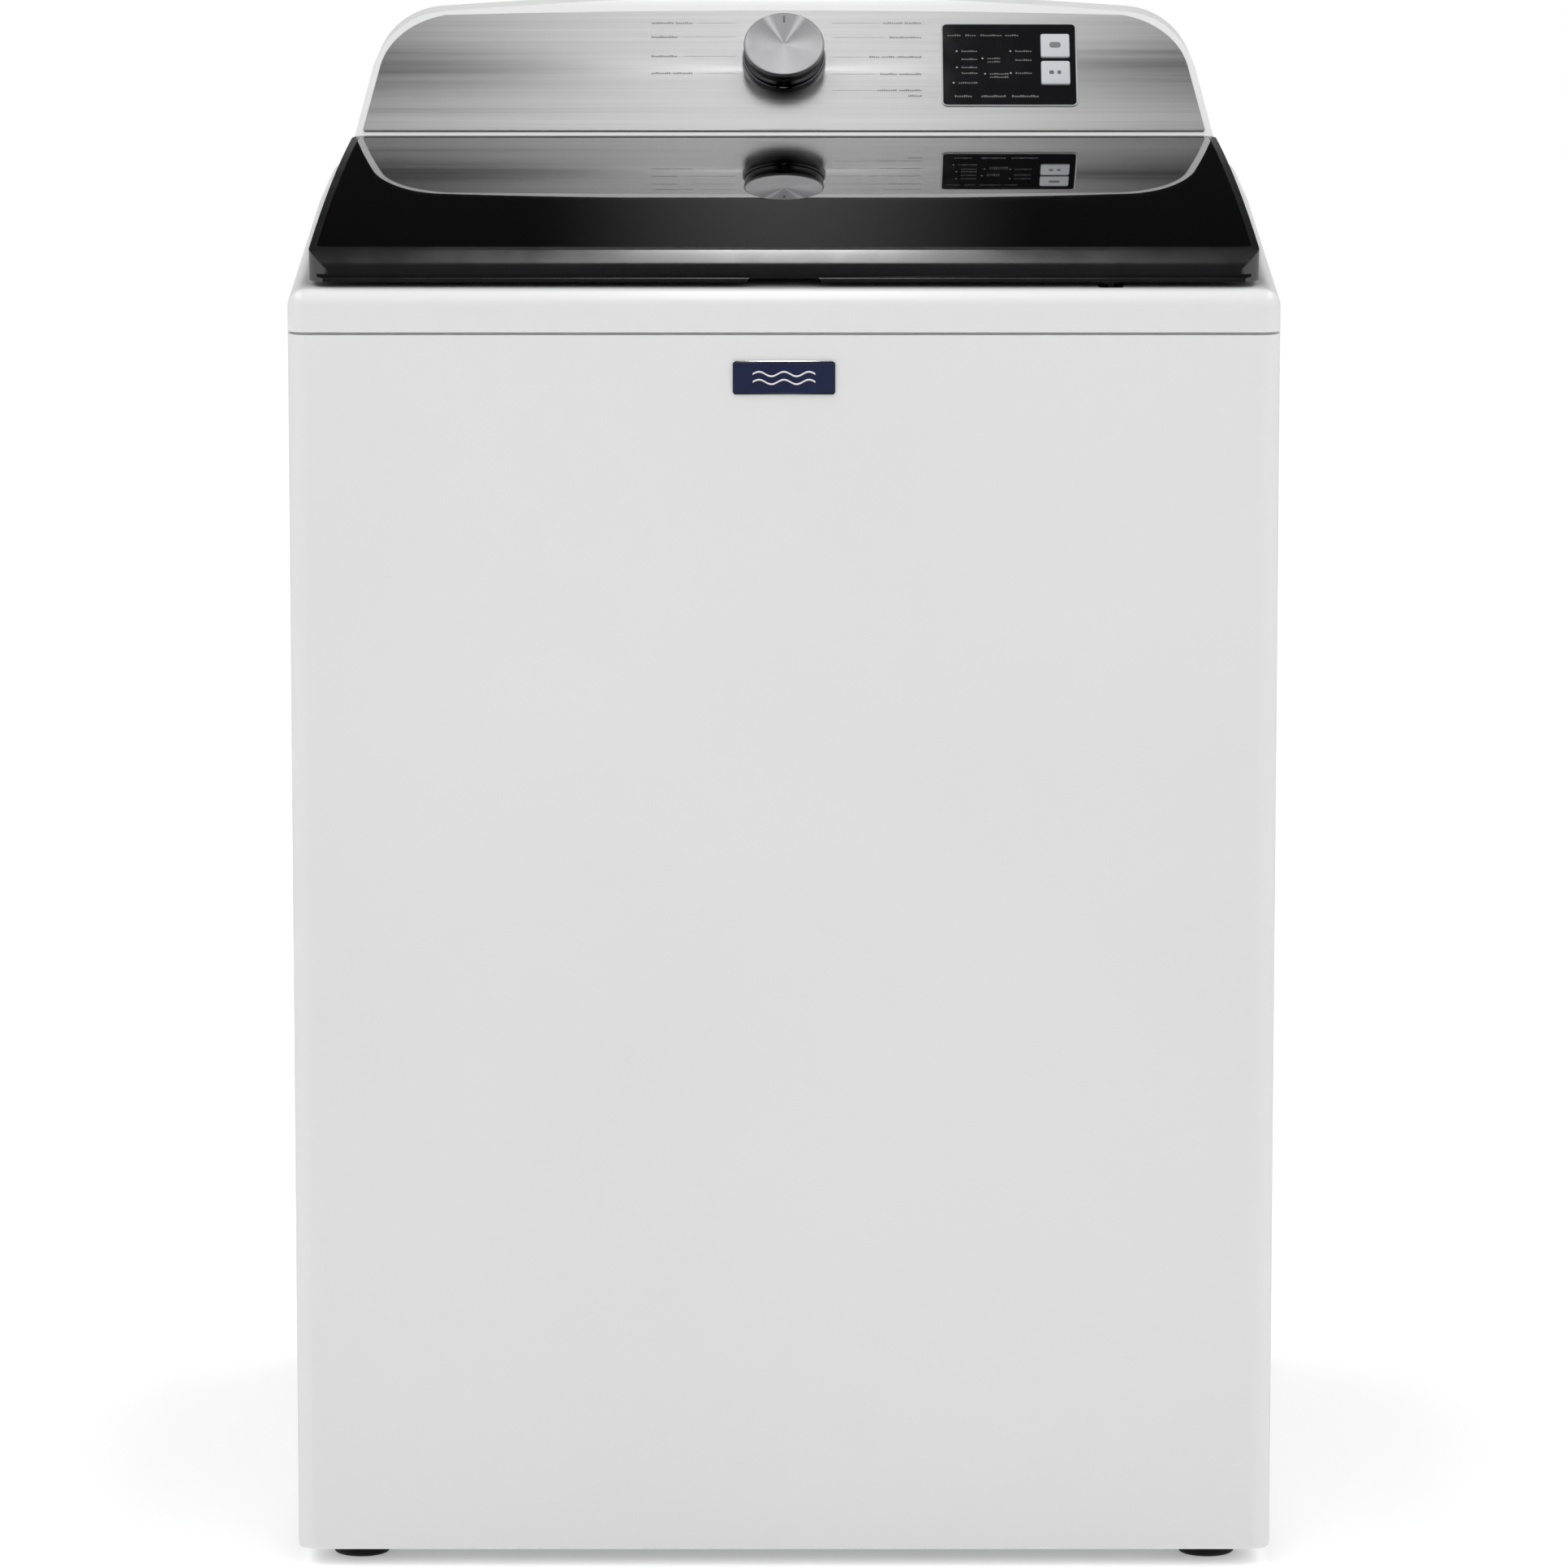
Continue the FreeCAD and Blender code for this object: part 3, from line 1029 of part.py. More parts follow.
# ---------------------------------------------------------------- output
def build():
    parts = {
        "cabinet_wrap": cabinet_wrap(),
        "rear_panel": screw_holes(rear_panel(), PANEL_SCREWS, REAR_Y),
        "base_frame": base_frame(),
        "foot_lock_nuts": foot_lock_nuts(),
        "rear_screws": rear_screws(),
        "front_badge": front_badge(),
        "top_panel": top_panel(),
        "lid_frame": lid_frame(),
        "lid_glass": lid_glass(),
        "lid_liner": lid_liner(),
        "lid_strike": lid_strike(),
        "lid_bumpers": lid_bumpers(),
        "hinge_brackets": both_sides(hinge_bracket()),
        "hinge_pins": both_sides(hinge_pin()),
        "lid_lock_housing": lid_lock_housing(),
        "lid_lock_bolt": lid_lock_bolt(),
        "console_housing": console_housing(),
        "console_fascia": console_fascia(),
        "console_rear_cover": console_rear_cover(),
        "knob_bezel": knob_bezel(),
        "knob_skirt": knob_skirt(),
        "knob_cap": knob_cap(),
        "knob_spindle": knob_spindle(),
        "encoder": encoder(),
        "display_window": display_window(),
        "power_button": button(BUTTON_LS[1]),
        "start_button": button(BUTTON_LS[0]),
        "control_board": control_board(),
        "inlet_valve_body": inlet_valve_body(),
        "inlet_solenoids": inlet_solenoids(),
        "fill_nozzle": fill_nozzle(),
        "outer_tub": outer_tub(),
        "tub_ring": tub_ring(),
        "wash_basket": wash_basket(),
        "basket_hub": basket_hub(),
        "balance_ring": balance_ring(),
        "agitator": agitator(),
        "softener_cup": softener_cup(),
        "agitator_shaft": agitator_shaft(),
        "spin_tube": spin_tube(),
        "spin_bearings": spin_bearings(),
        "tub_seal": tub_seal(),
        "gearcase": gearcase(),
        "drive_frame": drive_frame(),
        "drive_pulley": drive_pulley(),
        "drive_belt": drive_belt(),
        "motor": motor(),
        "motor_pulley": motor_pulley(),
        "drain_pump": drain_pump(),
        "pump_impeller": pump_impeller(),
        "drain_hose": drain_hose(),
        "drain_spigot": drain_spigot(),
        "suspension_rods": suspension_rods(),
        "suspension_springs": suspension_springs(),
        "rod_spring_seats": rod_spring_seats(),
        "damper_cups": damper_cups(),
    }
    for side, x in (("left", -FOOT_X), ("right", FOOT_X)):
        for end, y in zip(("front", "rear"), FOOT_YS):
            parts[f"leveling_foot_{end}_{side}"] = leveling_foot(x, y)
    return parts


def main():
    os.makedirs("parts", exist_ok=True)
    for name in os.listdir("parts"):
        os.remove(os.path.join("parts", name))
    for name, shape in build().items():
        solids = shape.Solids
        whole = solids[0] if len(solids) == 1 else Part.makeCompound(solids)
        volume = whole.Volume / 1000
        print(f"{name:26s} solids {len(solids):2d} valid {whole.isValid()} volume {volume:9.1f} cm3")
        whole.exportStep(f"parts/{name}.step")


main()
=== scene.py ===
"""The looks of a top load washing machine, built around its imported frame, in metres.

+Z is up and the front faces -Y. The cabinet, deck, lid, console and drive keep the frame's own
shapes. The knob, the window's marks, the keys, the badge, the prints, the basket, the agitator,
the springs, the drain hose, the feet and the screws at the back are made here in finer detail.
"""
import json
import math

import bmesh
import bpy
from mathutils import Matrix, Vector


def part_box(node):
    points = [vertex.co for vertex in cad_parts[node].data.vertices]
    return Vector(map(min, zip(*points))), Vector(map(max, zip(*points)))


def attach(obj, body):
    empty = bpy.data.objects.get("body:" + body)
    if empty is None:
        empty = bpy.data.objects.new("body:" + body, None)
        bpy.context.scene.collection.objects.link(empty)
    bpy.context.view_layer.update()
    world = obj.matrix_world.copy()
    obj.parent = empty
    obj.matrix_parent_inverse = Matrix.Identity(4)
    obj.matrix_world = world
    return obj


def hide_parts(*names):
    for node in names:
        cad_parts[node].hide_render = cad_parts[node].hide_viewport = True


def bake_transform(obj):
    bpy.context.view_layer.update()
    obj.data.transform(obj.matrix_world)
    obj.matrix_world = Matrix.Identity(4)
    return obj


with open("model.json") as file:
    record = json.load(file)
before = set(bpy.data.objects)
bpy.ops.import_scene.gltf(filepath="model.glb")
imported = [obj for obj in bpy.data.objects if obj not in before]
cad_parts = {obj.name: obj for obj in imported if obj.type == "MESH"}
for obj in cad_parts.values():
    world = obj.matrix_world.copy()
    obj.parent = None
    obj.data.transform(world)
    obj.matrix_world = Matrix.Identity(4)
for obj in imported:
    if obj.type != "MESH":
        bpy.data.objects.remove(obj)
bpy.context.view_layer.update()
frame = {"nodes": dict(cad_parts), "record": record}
record = frame["record"]


# ------------------------ the frame's own places
def joint(name):
    return next(j for j in record["behaviour"]["joints"] if j["name"] == name)


BASKET_LOW, BASKET_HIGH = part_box("wash_basket")
BADGE_LOW, BADGE_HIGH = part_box("front_badge")
CABINET_LOW, CABINET_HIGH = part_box("cabinet_wrap")

KNOB_AXIS = Vector(joint("knob_turn")["axis"]).normalized()
KNOB_SEAT = Vector(joint("knob_turn")["pos_m"])
TUB_AXIS = Vector(joint("basket_spin")["pos_m"])

# the sloping face: across is +X, up runs up the slope, off stands square off it
ACROSS = Vector((1, 0, 0))
UP_SLOPE = KNOB_AXIS.cross(ACROSS)
KNOB_UP = 0.074
FACE_FOOT = KNOB_SEAT - KNOB_UP * UP_SLOPE


def on_face(x, up, off):
    return FACE_FOOT + x * ACROSS + up * UP_SLOPE + off * KNOB_AXIS


def face_matrix(x, up, off):
    """Stands a shape drawn flat, with its own Z as its axis, on the sloping face."""
    turn = Matrix((ACROSS, UP_SLOPE, KNOB_AXIS)).transposed().to_4x4()
    return Matrix.Translation(on_face(x, up, off)) @ turn


# ------------------------ node helpers
class Shader:
    """A material's tree, with short ways to add nodes and join them."""

    def __init__(self, name, colour, roughness=0.5, metallic=0.0):
        self.mat = bpy.data.materials.new(name)
        self.mat.use_nodes = True
        self.tree = self.mat.node_tree
        self.skin = self.tree.nodes["Principled BSDF"]
        self.mat.diffuse_color = (*colour, 1)
        self.set("Base Color", (*colour, 1))
        self.set("Roughness", roughness)
        self.set("Metallic", metallic)

    def set(self, socket, value):
        self.skin.inputs[socket].default_value = value

    def add(self, kind, **settings):
        node = self.tree.nodes.new(kind)
        for key, value in settings.items():
            if hasattr(node, key):
                setattr(node, key, value)
            else:
                node.inputs[key.replace("_", " ")].default_value = value
        return node

    def join(self, source, out, target, socket):
        self.tree.links.new(source.outputs[out], target.inputs[socket])

    def place(self, scale=(1, 1, 1), turn=(0, 0, 0), shift=(0, 0, 0), uv=False):
        """Object coordinates (or the piece's own UV map), turned and scaled."""
        where = self.add("ShaderNodeTexCoord")
        mapping = self.add("ShaderNodeMapping", Scale=scale, Rotation=turn, Location=shift)
        self.join(where, "UV" if uv else "Object", mapping, "Vector")
        return mapping

    def noise(self, scale, detail=3.0, roughness=0.5, mapping=None):
        """Noise in plain object coordinates, or in those of a mapping."""
        mapping = mapping or self.place()
        node = self.add("ShaderNodeTexNoise", Scale=scale, Detail=detail, Roughness=roughness)
        self.join(mapping, "Vector", node, "Vector")
        return node

    def ramp(self, source, out, stops):
        node = self.add("ShaderNodeValToRGB")
        band = node.color_ramp
        while len(band.elements) < len(stops):
            band.elements.new(0.5)
        for element, (at, shade) in zip(band.elements, stops):
            element.position = at
            element.color = (*shade, 1) if isinstance(shade, tuple) else (shade, shade, shade, 1)
        self.join(source, out, node, "Fac")
        return node

    def bump(self, source, strength, distance, out="Fac"):
        node = self.add("ShaderNodeBump", Strength=strength, Distance=distance)
        self.join(source, out, node, "Height")
        self.join(node, "Normal", self.skin, "Normal")
        return node

    def vary(self, source, colour, spread, out="Fac"):
        """The base colour, darker and lighter by spread as the source runs from 0 to 1."""
        low = tuple(max(0.0, c * (1 - spread)) for c in colour)
        high = tuple(min(1.0, c * (1 + spread)) for c in colour)
        ramp = self.ramp(source, out, [(0.3, low), (0.7, high)])
        self.join(ramp, "Color", self.skin, "Base Color")
        return ramp

    def rough(self, source, low, high, out="Fac"):
        ramp = self.ramp(source, out, [(0.3, low), (0.7, high)])
        self.join(ramp, "Color", self.skin, "Roughness")
        return ramp


# ------------------------ finishes
def white_enamel():
    """Baked enamel: very faint orange peel under a clear gloss."""
    s = Shader("white_enamel", (0.78, 0.78, 0.78), 0.30)
    peel = s.noise(260.0, 2.0)
    s.bump(peel, 0.05, 0.0004)
    cloud = s.noise(3.0, 2.0)
    s.vary(cloud, (0.78, 0.78, 0.78), 0.012)
    s.set("Coat Weight", 0.25)
    s.set("Coat Roughness", 0.12)
    return s.mat


def white_moulding():
    s = Shader("white_moulding", (0.72, 0.72, 0.72), 0.35)
    grain = s.noise(900.0, 2.0)
    s.bump(grain, 0.06, 0.0002)
    s.rough(s.noise(40.0), 0.30, 0.40)
    return s.mat


FASCIA_SHADE = (0.36, 0.36, 0.36)


def brushed_fascia():
    """Stainless sheet brushed along its width, lacquered."""
    s = Shader("brushed_fascia", FASCIA_SHADE, 0.34, 1.0)
    long_lines = s.noise(1.0, 4.0, 0.65, s.place((5.0, 2600.0, 2600.0)))
    bands = s.noise(1.0, 3.0, 0.6, s.place((1.2, 130.0, 130.0)))
    mix = s.add("ShaderNodeMix", data_type="FLOAT", Factor=0.45)
    s.join(long_lines, "Fac", mix, "A")
    s.join(bands, "Fac", mix, "B")
    s.vary(mix, FASCIA_SHADE, 0.16, "Result")
    s.rough(mix, 0.30, 0.42, "Result")
    s.bump(long_lines, 0.10, 0.0002)
    s.set("Anisotropic", 0.6)
    return s.mat


def chrome(name, colour):
    s = Shader(name, colour, 0.07, 1.0)
    smear = s.noise(60.0)
    s.rough(smear, 0.05, 0.11)
    return s.mat


CAP_SHADE = (0.25, 0.25, 0.255)
# painted sheen: how bright the cap's colour is painted round the cap, as (share of a turn from the
# right, strength); the two bright stops near the top are painted rays of light
CAP_PAINTED_SHEEN = ((0.0, 0.50), (0.06, 0.44), (0.15, 0.32), (0.176, 0.78), (0.20, 0.40), (0.25, 0.36),
             (0.30, 0.40), (0.324, 0.78), (0.35, 0.32), (0.44, 0.44), (0.50, 0.50), (0.75, 0.72),
             (1.0, 0.50))


def turned_cap():
    """Lathe-turned aluminium: rings round its centre, and a painted sheen, lighter and darker sectors by
    angle round the cap painted into its base colour.
    """
    s = Shader("turned_cap", CAP_SHADE, 0.34, 1.0)
    polar = s.place(uv=True)
    rings = s.noise(1.0, 3.0, 0.6, s.place((3.0, 700.0, 1.0), uv=True))
    split = s.add("ShaderNodeSeparateXYZ")
    s.join(polar, "Vector", split, "Vector")
    # painted sheen: bright and dark sectors by angle, read from the UV map's U
    painted_sheen_wedges = s.ramp(split, "X", CAP_PAINTED_SHEEN)
    mix = s.add("ShaderNodeMix", data_type="FLOAT", Factor=0.25)
    s.join(painted_sheen_wedges, "Color", mix, "A")
    s.join(rings, "Fac", mix, "B")
    # the base colour carries the painted sheen, three parts of it to one of ring grain
    s.vary(mix, CAP_SHADE, 0.40, "Result")
    s.bump(rings, 0.15, 0.0002)
    tangent = s.add("ShaderNodeTangent", direction_type="UV_MAP")
    s.join(tangent, "Tangent", s.skin, "Tangent")
    s.set("Anisotropic", 0.85)
    return s.mat


def tinted_glass():
    """Smoked glass: a hard clear gloss over a dark body that lets a little through."""
    s = Shader("tinted_glass", (0.06, 0.06, 0.065), 0.015)
    s.set("Transmission Weight", 1.0)
    s.set("IOR", 1.52)
    s.rough(s.noise(12.0), 0.010, 0.022)
    s.mat.use_transparent_shadow = True
    return s.mat


def lid_moulding():
    s = Shader("lid_moulding", (0.008, 0.008, 0.009), 0.20)
    grain = s.noise(700.0)
    s.bump(grain, 0.04, 0.0002)
    s.rough(s.noise(30.0), 0.17, 0.23)
    s.set("IOR", 2.1)
    return s.mat


def black_gloss():
    s = Shader("black_gloss", (0.008, 0.008, 0.009), 0.06)
    s.rough(s.noise(50.0), 0.04, 0.09)
    return s.mat


def satin(name, colour, roughness=0.45, grain=900.0, depth=0.10, spread=0.03):
    """A moulded plastic with a fine spark-eroded grain."""
    s = Shader(name, colour, roughness)
    texture = s.noise(grain, 3.0, 0.6)
    s.bump(texture, depth, 0.0003)
    s.vary(s.noise(25.0), colour, spread)
    s.rough(texture, roughness - 0.05, roughness + 0.06)
    return s.mat


def rubber(name="black_rubber", colour=(0.018, 0.018, 0.019)):
    s = Shader(name, colour, 0.72)
    texture = s.noise(600.0, 4.0, 0.7)
    s.bump(texture, 0.25, 0.0004)
    s.vary(s.noise(18.0), colour, 0.35)
    return s.mat


def galvanised():
    """Zinc-coated sheet with its faint spangle."""
    s = Shader("galvanised", (0.55, 0.56, 0.57), 0.38, 1.0)
    spangle = s.add("ShaderNodeTexVoronoi", Scale=150.0)
    s.join(s.place(), "Vector", spangle, "Vector")
    s.vary(spangle, (0.52, 0.53, 0.54), 0.05, "Color")
    s.rough(spangle, 0.34, 0.44, "Distance")
    return s.mat


def bright_steel(name="bright_steel", colour=(0.55, 0.55, 0.56), roughness=0.28):
    s = Shader(name, colour, roughness, 1.0)
    marks = s.noise(1.0, 4.0, mapping=s.place((400, 400, 60)))
    s.vary(marks, colour, 0.14)
    s.rough(marks, roughness - 0.08, roughness + 0.12)
    return s.mat


def stainless_drum():
    """Drum sheet, its fine polish lines running round the drum."""
    s = Shader("stainless_drum", (0.62, 0.62, 0.62), 0.24, 1.0)
    lines = s.noise(1.0, 3.0, mapping=s.place((6, 6, 900)))
    s.vary(lines, (0.62, 0.62, 0.62), 0.08)
    s.rough(lines, 0.18, 0.32)
    return s.mat


def cast_aluminium():
    s = Shader("cast_aluminium", (0.50, 0.50, 0.51), 0.50, 1.0)
    sand = s.noise(500.0, 5.0, 0.7)
    s.bump(sand, 0.35, 0.0005)
    s.vary(s.noise(40.0), (0.50, 0.50, 0.51), 0.15)
    return s.mat


def painted_steel(name, colour):
    s = Shader(name, colour, 0.40)
    peel = s.noise(350.0)
    s.bump(peel, 0.15, 0.0003)
    s.vary(s.noise(20.0), colour, 0.12)
    return s.mat


def print_ink(name, colour):
    """Screen-printed ink, a little uneven in its cover."""
    s = Shader(name, colour, 0.55)
    s.vary(s.noise(1500.0), colour, 0.10)
    return s.mat


FINISH = {
    "enamel": white_enamel(),
    "moulding": white_moulding(),
    "fascia": brushed_fascia(),
    "chrome": chrome("bright_chrome", (0.78, 0.78, 0.79)),
    # chrome with its colour painted dark: painted dark reflection on the knob's skirt and bezel
    "chrome_painted_dark": chrome("chrome_painted_dark", (0.085, 0.085, 0.09)),
    "turned": turned_cap(),
    "glass": tinted_glass(),
    "lid": lid_moulding(),
    "gloss_black": black_gloss(),
    "key": satin("key_grey", (0.50, 0.51, 0.53), 0.40, 1200.0, 0.05),
    "black": satin("black_plastic", (0.022, 0.022, 0.023), 0.50),
    "grey": satin("grey_plastic", (0.40, 0.41, 0.42), 0.45),
    "liner": satin("liner_grey", (0.20, 0.205, 0.21), 0.45),
    "tub": satin("tub_plastic", (0.62, 0.63, 0.62), 0.50, 300.0, 0.15),
    "agitator": satin("agitator_grey", (0.42, 0.44, 0.46), 0.30, 800.0, 0.05),
    "rubber": rubber(),
    "galvanised": galvanised(),
    "steel": bright_steel(),
    "drum": stainless_drum(),
    "cast": cast_aluminium(),
    "paint": painted_steel("drive_paint", (0.030, 0.030, 0.033)),
    "board": painted_steel("board_green", (0.015, 0.11, 0.045)),
    "coil": satin("coil_blue", (0.05, 0.13, 0.33), 0.45),
    "badge": painted_steel("badge_blue", (0.010, 0.016, 0.060)),
    "dark_ink": print_ink("dark_ink", (0.10, 0.10, 0.10)),
    "grey_ink": print_ink("grey_ink", (0.16, 0.16, 0.16)),
    "pale_ink": print_ink("pale_ink", (0.33, 0.33, 0.33)),
    "white_ink": print_ink("white_ink", (0.75, 0.75, 0.76)),
    "dim_ink": print_ink("dim_ink", (0.13, 0.13, 0.13)),
}

NODE_FINISH = {
    "enamel": ["cabinet_wrap", "top_panel"],
    "moulding": ["console_housing"],
    "fascia": ["console_fascia"],
    # painted dark reflection: the bezel's chrome is darkened in colour
    "chrome_painted_dark": ["knob_bezel"],
    "galvanised": ["rear_panel", "console_rear_cover", "base_frame", "drive_frame"],
    "steel": ["foot_lock_nuts", "hinge_brackets", "hinge_pins",
              "knob_spindle", "agitator_shaft", "spin_tube", "spin_bearings", "motor_pulley",
              "suspension_rods"],
    "black": ["lid_strike", "lid_lock_housing", "encoder", "fill_nozzle", "drain_pump",
              "rod_spring_seats"],
    "grey": ["lid_lock_bolt", "inlet_valve_body", "basket_hub", "balance_ring", "pump_impeller",
             "drain_spigot", "damper_cups"],
    "liner": ["lid_liner"],
    "tub": ["outer_tub", "tub_ring"],
    "agitator": ["softener_cup"],
    "rubber": ["lid_bumpers", "tub_seal", "drive_belt"],
    "cast": ["gearcase", "drive_pulley"],
    "paint": ["motor"],
    "board": ["control_board"],
    "coil": ["inlet_solenoids"],
}


def dress(node, finish):
    """Gives a frame node its finish and nothing else."""
    skin = frame["nodes"][node].data
    skin.materials.clear()
    skin.materials.append(FINISH[finish])


for finish, nodes in NODE_FINISH.items():
    for node in nodes:
        dress(node, finish)
for node, finish in {"lid_frame": "lid", "lid_glass": "glass"}.items():
    dress(node, finish)


# ------------------------ mesh helpers
def put(name, data):
    """Puts a mesh, a curve, a light or a camera in the scene."""
    obj = bpy.data.objects.new(name, data)
    bpy.context.scene.collection.objects.link(obj)
    return obj


def draft(name, verts, faces):
    """A bare mesh from its points and faces."""
    mesh = bpy.data.meshes.new(name)
    mesh.from_pydata([tuple(v) for v in verts], [], faces)
    return put(name, mesh)


def piece(name, verts, faces, finish, body, sharp=35.0, turned_out=True):
    """A mesh piece, smooth but for edges sharper than the angle, on a body if one is named."""
    obj = draft(name, verts, faces)
    finish_mesh(obj.data, sharp, turned_out)
    obj.data.materials.append(FINISH[finish])
    if body:
        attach(obj, body)
    return obj


def finish_mesh(mesh, sharp, turned_out=True):
    bm = bmesh.new()
    bm.from_mesh(mesh)
    bmesh.ops.remove_doubles(bm, verts=bm.verts, dist=1e-6)
    if turned_out:
        bmesh.ops.recalc_face_normals(bm, faces=bm.faces)
    limit = math.radians(sharp)
    for face in bm.faces:
        face.smooth = True
    for edge in bm.edges:
        edge.smooth = len(edge.link_faces) == 2 and edge.calc_face_angle(0.0) < limit
    bm.to_mesh(mesh)
    bm.free()


def turned(profile, matrix, segments=96):
    """Points and faces of a closed (radius, height) outline turned about a matrix's own Z."""
    verts, faces, n = [], [], len(profile)
    for k in range(segments):
        a = 2 * math.pi * k / segments
        verts += [matrix @ Vector((r * math.cos(a), r * math.sin(a), z)) for r, z in profile]
    for k in range(segments):
        a, b = k * n, (k + 1) % segments * n
        for i in range(n):
            j = (i + 1) % n
            faces.append((a + i, b + i, b + j, a + j))
    return verts, faces


def arc(cx, cz, r, start, end, steps):
    """Points along an arc, with angles in degrees."""
    angles = [math.radians(start + (end - start) * k / steps) for k in range(steps + 1)]
    return [(cx + r * math.cos(a), cz + r * math.sin(a)) for a in angles]


def ring_faces(rows, around, start=0, closed=False):
    """Quads between rings of points, each to the next and, if closed, the last to the first."""
    faces = []
    for k in range(rows if closed else rows - 1):
        here, above = start + k * around, start + (k + 1) % rows * around
        for i in range(around):
            j = (i + 1) % around
            faces.append((here + i, here + j, above + j, above + i))
    return faces


def end_caps(rows, around, first_flipped=True, start=0):
    """The faces that close the first and the last ring, one of them turned the other way."""
    first = tuple(range(start, start + around))
    last = tuple(range(start + (rows - 1) * around, start + rows * around))
    return [first[::-1], last] if first_flipped else [first, last[::-1]]


def rounded_outline(half_w, half_h, r, steps=6):
    """A rounded rectangle's points, anticlockwise, about its own centre."""
    points = []
    for cx, cy, start in ((1, 1, 0), (-1, 1, 90), (-1, -1, 180), (1, -1, 270)):
        points += arc(cx * (half_w - r), cy * (half_h - r), r, start, start + 90, steps)
    return points


def bevelled_plate(half_w, half_h, r, low, high, edge, matrix, steps=6):
    """A plate with rounded corners whose upper edge rolls over by edge."""
    rings = [(0.0, low)]
    rings += [(edge * (1 - math.cos(a)), high - edge * (1 - math.sin(a)))
              for a in (math.radians(15 * k) for k in range(7))]
    verts, around = [], 4 * (steps + 1)
    for inset, z in rings:
        verts += [matrix @ Vector((x, y, z))
                  for x, y in rounded_outline(half_w - inset, half_h - inset, r - inset * 0.9, steps)]
    return verts, ring_faces(len(rings), around) + end_caps(len(rings), around)


# ------------------------ knob
KNOB_RADIUS = 0.0305
KNOB_TOP = 0.020
CAP_FOOT = 0.0166


def knob_skirt():
    """Bright chrome waisted ring under the cap, with a rolled foot; its colour is painted dark to stand
    in for the dark reflections in it.
    """
    r = KNOB_RADIUS
    waist = [(r - 0.0012, 0.0056), (r - 0.0004, 0.0062), (r - 0.0002, 0.0072), (r - 0.0010, 0.0084)]
    waist += arc(r + 0.0012, 0.0112, 0.0038, 220, 140, 10)
    waist += [(r - 0.0008, 0.0146), (r - 0.0003, 0.0152), (r - 0.0003, 0.0160), (r - 0.0010, CAP_FOOT)]
    profile = [(0.0032, 0.0056)] + waist + [(0.0032, CAP_FOOT)]
    verts, faces = turned(profile, face_matrix(0, KNOB_UP, 0), 128)
    skirt = piece("knob_skirt_turned", verts, faces, "chrome_painted_dark", "knob", 30)
    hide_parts("knob_skirt")


def knob_cap():
    """Turned cap: its rings follow the UV map, round in U and outwards in V."""
    r, top = KNOB_RADIUS, KNOB_TOP
    edge = arc(r - 0.0012, top - 0.0012, 0.0012, 0, 90, 6)
    dish = [(r - 0.0030, top - 0.0001), (r * 0.75, top - 0.0004), (r * 0.5, top - 0.0006),
            (r * 0.25, top - 0.0007), (0.0004, top - 0.00075)]
    profile = [(r - 0.0004, CAP_FOOT), (r, CAP_FOOT + 0.0004)] + edge + dish
    matrix, segments, n = face_matrix(0, KNOB_UP, 0), 128, len(profile)
    bm = bmesh.new()
    uv = bm.loops.layers.uv.new("rings")
    rows = []
    for k in range(segments):
        a = 2 * math.pi * k / segments
        rows.append([bm.verts.new(matrix @ Vector((p * math.cos(a), p * math.sin(a), z)))
                     for p, z in profile])
    for k in range(segments):
        here, there = rows[k], rows[(k + 1) % segments]
        for i in range(n - 1):
            face = bm.faces.new((here[i], there[i], there[i + 1], here[i + 1]))
            corners = ((k, i), (k + 1, i), (k + 1, i + 1), (k, i + 1))
            for loop, (turn, ring) in zip(face.loops, corners):
                loop[uv].uv = (turn / segments, profile[ring][0] / r)
    bm.faces.new([row[-1] for row in rows])
    bm.faces.new([row[0] for row in rows][::-1])
    mesh = bpy.data.meshes.new("knob_cap_turned")
    bm.to_mesh(mesh)
    bm.free()
    obj = put("knob_cap_turned", mesh)
    finish_mesh(mesh, 40)
    mesh.materials.append(FINISH["turned"])
    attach(obj, "knob")
    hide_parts("knob_cap")


def knob_mark():
    """Inked pointer in the cap's rim."""
    verts, faces = bevelled_plate(0.0007, 0.0028, 0.0006, -0.0004, 0.00012, 0.0001,
                                  face_matrix(0, KNOB_UP + KNOB_RADIUS - 0.0062, KNOB_TOP))
    mark = piece("knob_mark", verts, faces, "dark_ink", "knob")


# ------------------------ prints on the console
def print_rows(name, marks, finish, off, body="cabinet"):
    """Thin inked bars on the sloping face, one for each (x, up, half width, half height)."""
    verts, faces = [], []
    thick = 0.00008
    for x, up, half_w, half_h in marks:
        v, f = bevelled_plate(half_w, half_h, min(half_w, half_h) * 0.6, -thick, thick, thick * 0.5,
                              face_matrix(x, up, off), 2)
        faces += [tuple(i + len(verts) for i in face) for face in f]
        verts += v
    ink = piece(name, verts, faces, finish, body, turned_out=False)
    return ink


WORD_GAP = 0.0016


def letters(left, right, up, half_h):
    """Short upright strokes of uneven height that fill one word of a legend."""
    pitch, half_w = 0.0016, 0.00055
    count = max(3, round((right - left) / pitch))
    strokes = []
    for k in range(count):
        tall = half_h * (1.0, 0.72, 0.72, 1.0, 0.72)[(k * 3 + count) % 5]
        x = left + (k + 0.5) * (right - left) / count
        strokes.append((x, up - half_h + tall, half_w, tall))
    return strokes


def words(left, up, widths, half_h):
    """The strokes of a short label's words, starting at left."""
    strokes, x = [], left
    for width in widths:
        strokes += letters(x, x + width, up, half_h)
        x += width + WORD_GAP
    return strokes


FACE_SKIN = 0.0004
